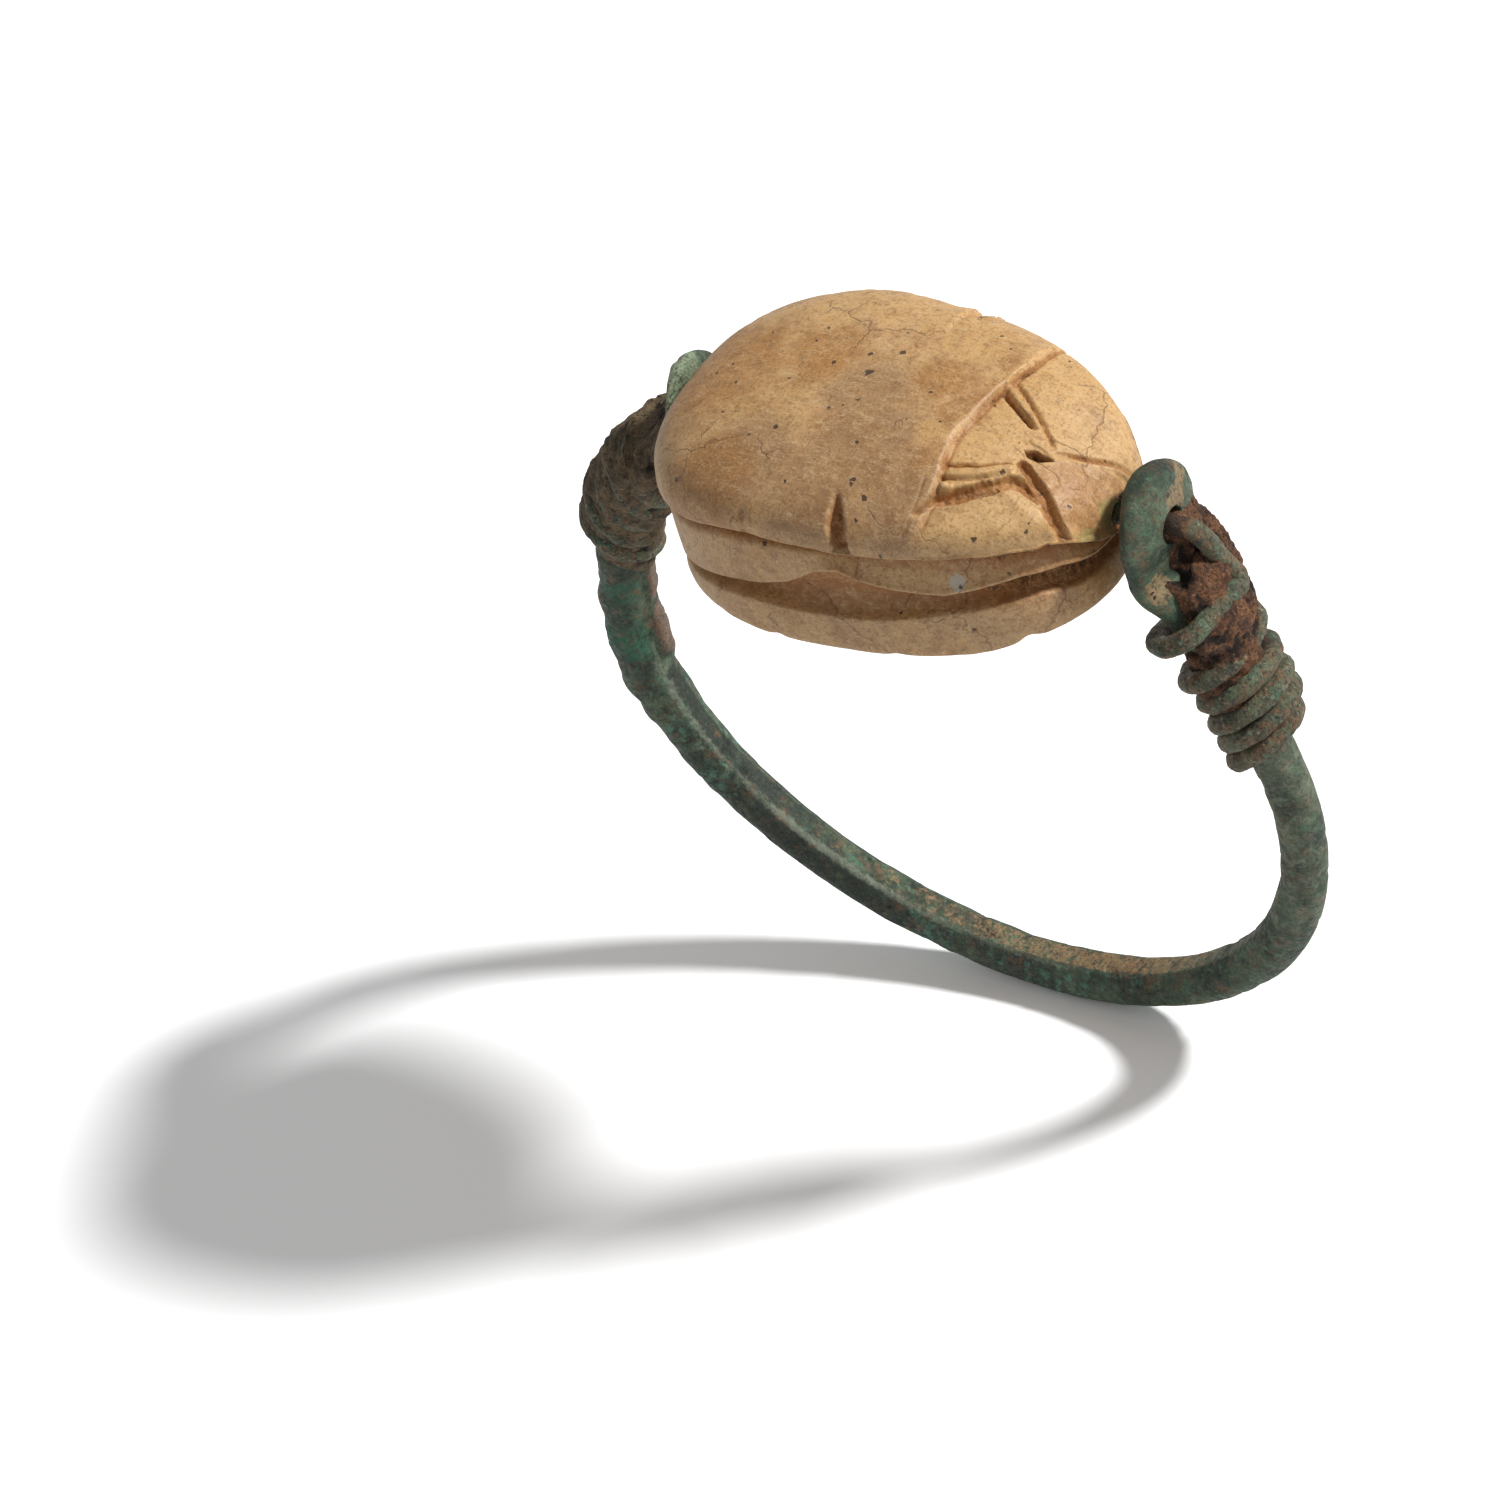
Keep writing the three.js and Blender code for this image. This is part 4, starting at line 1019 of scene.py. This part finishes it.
def windingPath(side):
    # Lead out of the disc's hole, then turns whose centre keeps the wire's radius off the rod's surface.
    disc, winding = rod[side], wire[side]
    sign = np.sign(disc["x"])
    number, run, loose = np.array(winding["turns"]).T
    turn = np.linspace(number[0], number[-1], int((number[-1] - number[0]) * wire["turnSteps"]))
    weights = rowBlend(len(number), np.interp(turn, number, np.arange(len(number))))
    angle = 2 * np.pi * turn + math.radians(winding["startDegrees"])
    fromEnd = weights @ run - winding["lean"] * np.cos(angle - math.radians(winding["leanDegrees"]))
    distances = fromEnd if sign < 0 else rodLength - fromEnd
    centre, outward, wide, thick, _ = rodStations(distances)
    square = np.stack([wide * np.cos(angle), thick * np.sin(angle)], -1)
    offset = wire["diameter"] / 2 + wire["clearance"] + weights @ loose
    square *= offset[:, None] / np.linalg.norm(square, axis=-1, keepdims=True)
    helix = centre + outward * (thick * np.cos(angle) + square[:, 0])[:, None]
    helix[:, 1] = -(wide * np.sin(angle) + square[:, 1])
    hole = np.array([disc["x"] + sign * disc["thickness"] / 2, 0, boreHeight])
    lead = [hole - [sign * wire["inHole"], 0, 0]] + [hole + step for step in winding["lead"]]
    return smoothPath([*lead, *helix[::wire["pathStride"]]], wire["spanSteps"])


def makeWire():
    left, right = windingPath("left"), windingPath("right")
    path = np.concatenate([left[::-1], right])
    length = pathRun(path)[-1]
    centre = alongPath(path, np.linspace(0, length, int(length / wire["step"])))
    for _ in range(wire["smoothings"]):
        centre[1:-1] = (centre[:-2] + 2 * centre[1:-1] + centre[2:]) / 4
    along = np.gradient(centre, axis=0)
    along /= np.linalg.norm(along, axis=-1, keepdims=True)
    up = np.zeros_like(along)
    up[0] = np.cross(along[0], [0, 1, 0])
    for number in range(1, len(up)):  # the section turns as little as it can along the path
        carried = up[number - 1] - along[number] * np.dot(along[number], up[number - 1])
        up[number] = carried / np.linalg.norm(carried)
    across = np.cross(along, up)
    angle = np.linspace(0, 2 * np.pi, wire["sides"], endpoint=False)[None, :, None]
    radius = wire["diameter"] / 2 * (1 + wire["uneven"] * latticeNoise(centre, 1.3, 57))[:, None, None]
    plain = centre[:, None] + radius * (up[:, None] * np.cos(angle) + across[:, None] * np.sin(angle))
    normals = gridNormals(plain)
    points = plain + normals * summedNoise(plain, wire["rust"])[..., None]
    axis = rodLine[::8]
    toAxis = np.array([np.linalg.norm(ring[:, None] - axis[None], axis=-1).min(axis=1) for ring in points])
    # darker the closer the wire lies to the rod's line: earth with painted shade in the crevices between
    # wire and rod
    low = smooth(*wire["earthAndShadeWithin"], toAxis) + 0.15 * layeredNoise(points, 0.5, 2, 53)
    return skinMesh("binding_wire", points, {"low": low})


# Earth and corrosion that fill the space between rod and wire

crust = {
    # over: height all round, outer: added on the side away from the finger; both by run from the rod's end.
    # facing: section angle in degrees of the added part's middle. reach: cosine of the angle from there at
    # which it comes in. slant: how far the ends lean along the rod, and the section angle in degrees of
    # their far side. lumps: height, size, layers, seed. holes: x, y, z, radius
    "right": {
        "from": 1.6, "to": 12.4, "slant": (0.7, 174), "facing": 25,
        "lumps": [(0.13, 1.1, 3, 61), (0.08, 0.28, 3, 66)],
        "over": [(5.6, -0.25), (6.5, 0.2), (7.5, 0.55), (9, 0.6), (10.8, 0.55), (11.3, 0.1), (11.8, -0.25)],
        "outer": [(1.6, 0), (2.0, 0.35), (3.2, 0.65), (4.6, 0.85), (5.6, 0.8), (6.4, 0.4), (7.4, 0)],
        "reach": [(2, 0.8), (4, 0.45), (6, -0.1)],
        "holes": [(11.5, -0.75, 9.6, 0.5), (12.0, -0.95, 6.85, 0.75), (11.7, -1.2, 7.2, 0.6),
                  (11.6, -0.3, 10.6, 0.25)],
    },
    "left": {
        "from": 1.2, "to": 12.2, "slant": (0.65, 150), "facing": 0,
        "lumps": [(0.11, 1.1, 3, 61), (0.06, 0.28, 3, 66)],
        "over": [(4.2, -0.25), (5.4, 0.4), (6.5, 0.66), (9.6, 0.68), (10.5, 0.62), (11.1, 0.4),
                 (11.6, -0.25)],
        "outer": [(1.2, 0), (1.6, 0.4), (2.4, 1.1), (3.2, 1.5), (4.2, 1.45), (5.2, 0.6), (6.5, 0.15),
                  (8, 0)],
        "reach": [(2, 0.2), (6, -0.3)],
        "holes": [(-8.3, -1.1, 9.6, 0.8), (-8.9, -1.2, 8.6, 0.5)],
    },
    "step": 0.06, "columns": 104, "holeDepth": 0.45,
}


def makeCrust(side):
    # Sleeve round the rod, broken up by lumps of two sizes and some holes.
    setting = crust[side]
    onLeft = side == "left"
    fromEnd = np.arange(setting["from"], setting["to"], crust["step"])
    centre, outward, wide, thick, _ = rodStations(fromEnd if onLeft else rodLength - fromEnd)
    angle = np.linspace(0, 2 * np.pi, crust["columns"], endpoint=False)[None]
    lean, farSide = setting["slant"]
    sheared = fromEnd[:, None] - lean * np.cos(angle - math.radians(farSide))
    reach = tableAt(setting["reach"], fromEnd)[:, None]
    over = tableAt(setting["over"], sheared)
    facing = np.cos(angle - math.radians(setting["facing"]))
    over = over + tableAt(setting["outer"], fromEnd)[:, None] * smooth(reach - 0.15, reach + 0.3, facing)
    plain = centre[:, None] + outward[:, None] * ((thick[:, None] + over) * np.cos(angle))[..., None]
    plain[..., 1] += (wide[:, None] + over * 0.8) * np.sin(angle)
    if not onLeft:
        plain = plain[:, ::-1]
    normals = gridNormals(plain)
    lumps = summedNoise(plain, setting["lumps"])
    hole = nearPlaces(plain, setting["holes"])
    points = plain + normals * (lumps - crust["holeDepth"] * hole)[..., None]
    # darker in the lumps' dips and in the holes: painted shade
    hollow = np.maximum(smooth(0.02, -0.16, lumps), hole * 1.3)
    return skinMesh("crust_" + side, points, {"hollow": hollow})


# Earth set hard with copper salts: dull brown grains with rust and a little green.
earth = {
    "right": {
        "stops": [(0.35, "#33221A"), (0.46, "#5C3F2D"), (0.56, "#7C5337"), (0.7, "#A06C45")],
        "stains": [
            ("#535E49", 0.8, 0.58, 0.68, 0.5, None),
            ("#BF8A5F", 0.14, 0.55, 0.66, 0.65, None),
            ("#1E140E", 0.1, 0.48, 0.62, 0.85, None),
            # near black in the dips and holes: painted shade
            ("#1A110C", 0.25, 0.72, 0.98, 0.95, "hollow"),
        ],
    },
    "left": {
        "stops": [(0.35, "#3A3126"), (0.46, "#67573F"), (0.56, "#7E6A50"), (0.7, "#917C60")],
        "stains": [
            ("#465A48", 0.9, 0.54, 0.65, 0.6, None),
            ("#A8957A", 0.14, 0.56, 0.68, 0.6, None),
            ("#1B1712", 0.1, 0.5, 0.66, 0.8, None),
            # near black in the dips and holes: painted shade
            ("#15110D", 0.25, 0.75, 1.0, 0.95, "hollow"),
        ],
    },
    "patches": {"Scale": 1 / 0.8, "Detail": 5, "Roughness": 0.7, "Distortion": 0.3},
    "bumps": [(0.12, 0.14), (0.35, 0.16)],
}


def earthMaterial(side):
    stops, stains = earth[side]["stops"], earth[side]["stains"]
    material, tree, _, place, _, colour = mottled("earth crust " + side, earth["patches"], stops, stains)
    surfaced(tree, {"Roughness": 0.85, "IOR": 1.45}, colour, roughened(tree, place, earth["bumps"]), 1)
    return material


def dress(piece, material, body, slot, *nodes):
    piece.data.materials.clear()
    piece.data.materials.append(material)
    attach(piece, body)
    if nodes:
        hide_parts(*nodes)


stonePiece = makeScarab()
dress(stonePiece, steatiteMaterial(), "bead", "stone", "scarab")
stoneSize = [round(side / mm, 2) for side in stonePiece.dimensions]
print("scarab made:", len(stonePiece.data.polygons), "faces,", stoneSize, "mm")

hoopPiece = makeHoop()
dress(hoopPiece, patinaMaterial("hoop"), "root", "hoop_metal", "hoop")
print("hoop made:", len(hoopPiece.data.polygons), "faces")

wirePiece = makeWire()
dress(wirePiece, patinaMaterial("wire"), "root", "wire_metal", "wire_axle", "right_winding", "left_winding")
print("wire made:", len(wirePiece.data.polygons), "faces")

for side in ("right", "left"):
    dress(makeCrust(side), earthMaterial(side), "root", "wire_metal")
print("crusts made")


# Floor, lamps and camera

studio = {
    "cameraPlace": (120.21, -121.42, 159.56), "lens": 175.2,
    "right": (0.818, 0.506, -0.273), "up": (-0.208, 0.702, 0.681), "back": (0.536, -0.501, 0.680),
    "sunTravel": (-0.606, -0.421, -0.675), "sunStrength": 3.55, "sunDegrees": 7.5,
    "skyStrength": 0.32, "floorSize": 600, "floorWhite": 1.35,
}


def makeFloor():
    half = studio["floorSize"] / 2 * mm
    mesh = bpy.data.meshes.new("floor")
    corners = [(-half, -half, 0), (half, -half, 0), (half, half, 0), (-half, half, 0)]
    mesh.from_pydata(corners, [], [(0, 1, 2, 3)])
    floor = bpy.data.objects.new("floor", mesh)
    bpy.context.scene.collection.objects.link(floor)
    material, tree = newMaterial("white card")
    seen = addNode(tree, "LightPath", None, None, "Is Camera Ray")
    level = addNode(tree, "MapRange", {3: 0.8, 4: studio["floorWhite"]}, {0: seen})
    shader = addNode(tree, "BsdfDiffuse", None, {"Color": level})
    addNode(tree, "OutputMaterial", None, {0: shader}, None)
    mesh.materials.append(material)


def makeLamps():
    sun = bpy.data.lights.new("key", "SUN")
    sun.energy = studio["sunStrength"]
    sun.angle = math.radians(studio["sunDegrees"])
    lamp = bpy.data.objects.new("key", sun)
    lamp.rotation_euler = Vector(studio["sunTravel"]).to_track_quat("-Z", "Y").to_euler()
    bpy.context.scene.collection.objects.link(lamp)
    world = bpy.data.worlds.new("studio")
    bpy.context.scene.world = world
    world.use_nodes = True
    tree = world.node_tree
    tree.nodes.clear()
    seen = addNode(tree, "LightPath", None, None, "Is Camera Ray")
    strength = addNode(tree, "MapRange", {3: studio["skyStrength"], 4: 1}, {0: seen})
    sky = addNode(tree, "Background", {"Color": (1, 1, 1, 1)}, {"Strength": strength})
    addNode(tree, "OutputWorld", None, {0: sky}, None)


def makeCamera():
    data = bpy.data.cameras.new("camera")
    data.lens = studio["lens"]
    data.sensor_width = 36
    data.clip_start = 0.01
    camera = bpy.data.objects.new("camera", data)
    axes = [Vector(studio[name]).normalized() for name in ("right", "up", "back")]
    place = (np.array(studio["cameraPlace"]) + ringShift) * mm
    turn = Matrix([list(axis) for axis in axes]).transposed().to_4x4()
    camera.matrix_world = Matrix.Translation(Vector(place)) @ turn
    bpy.context.scene.collection.objects.link(camera)
    bpy.context.scene.camera = camera


makeFloor()
makeLamps()
makeCamera()
bpy.context.scene.view_settings.view_transform = "Standard"
bpy.context.view_layer.update()
print("studio made")
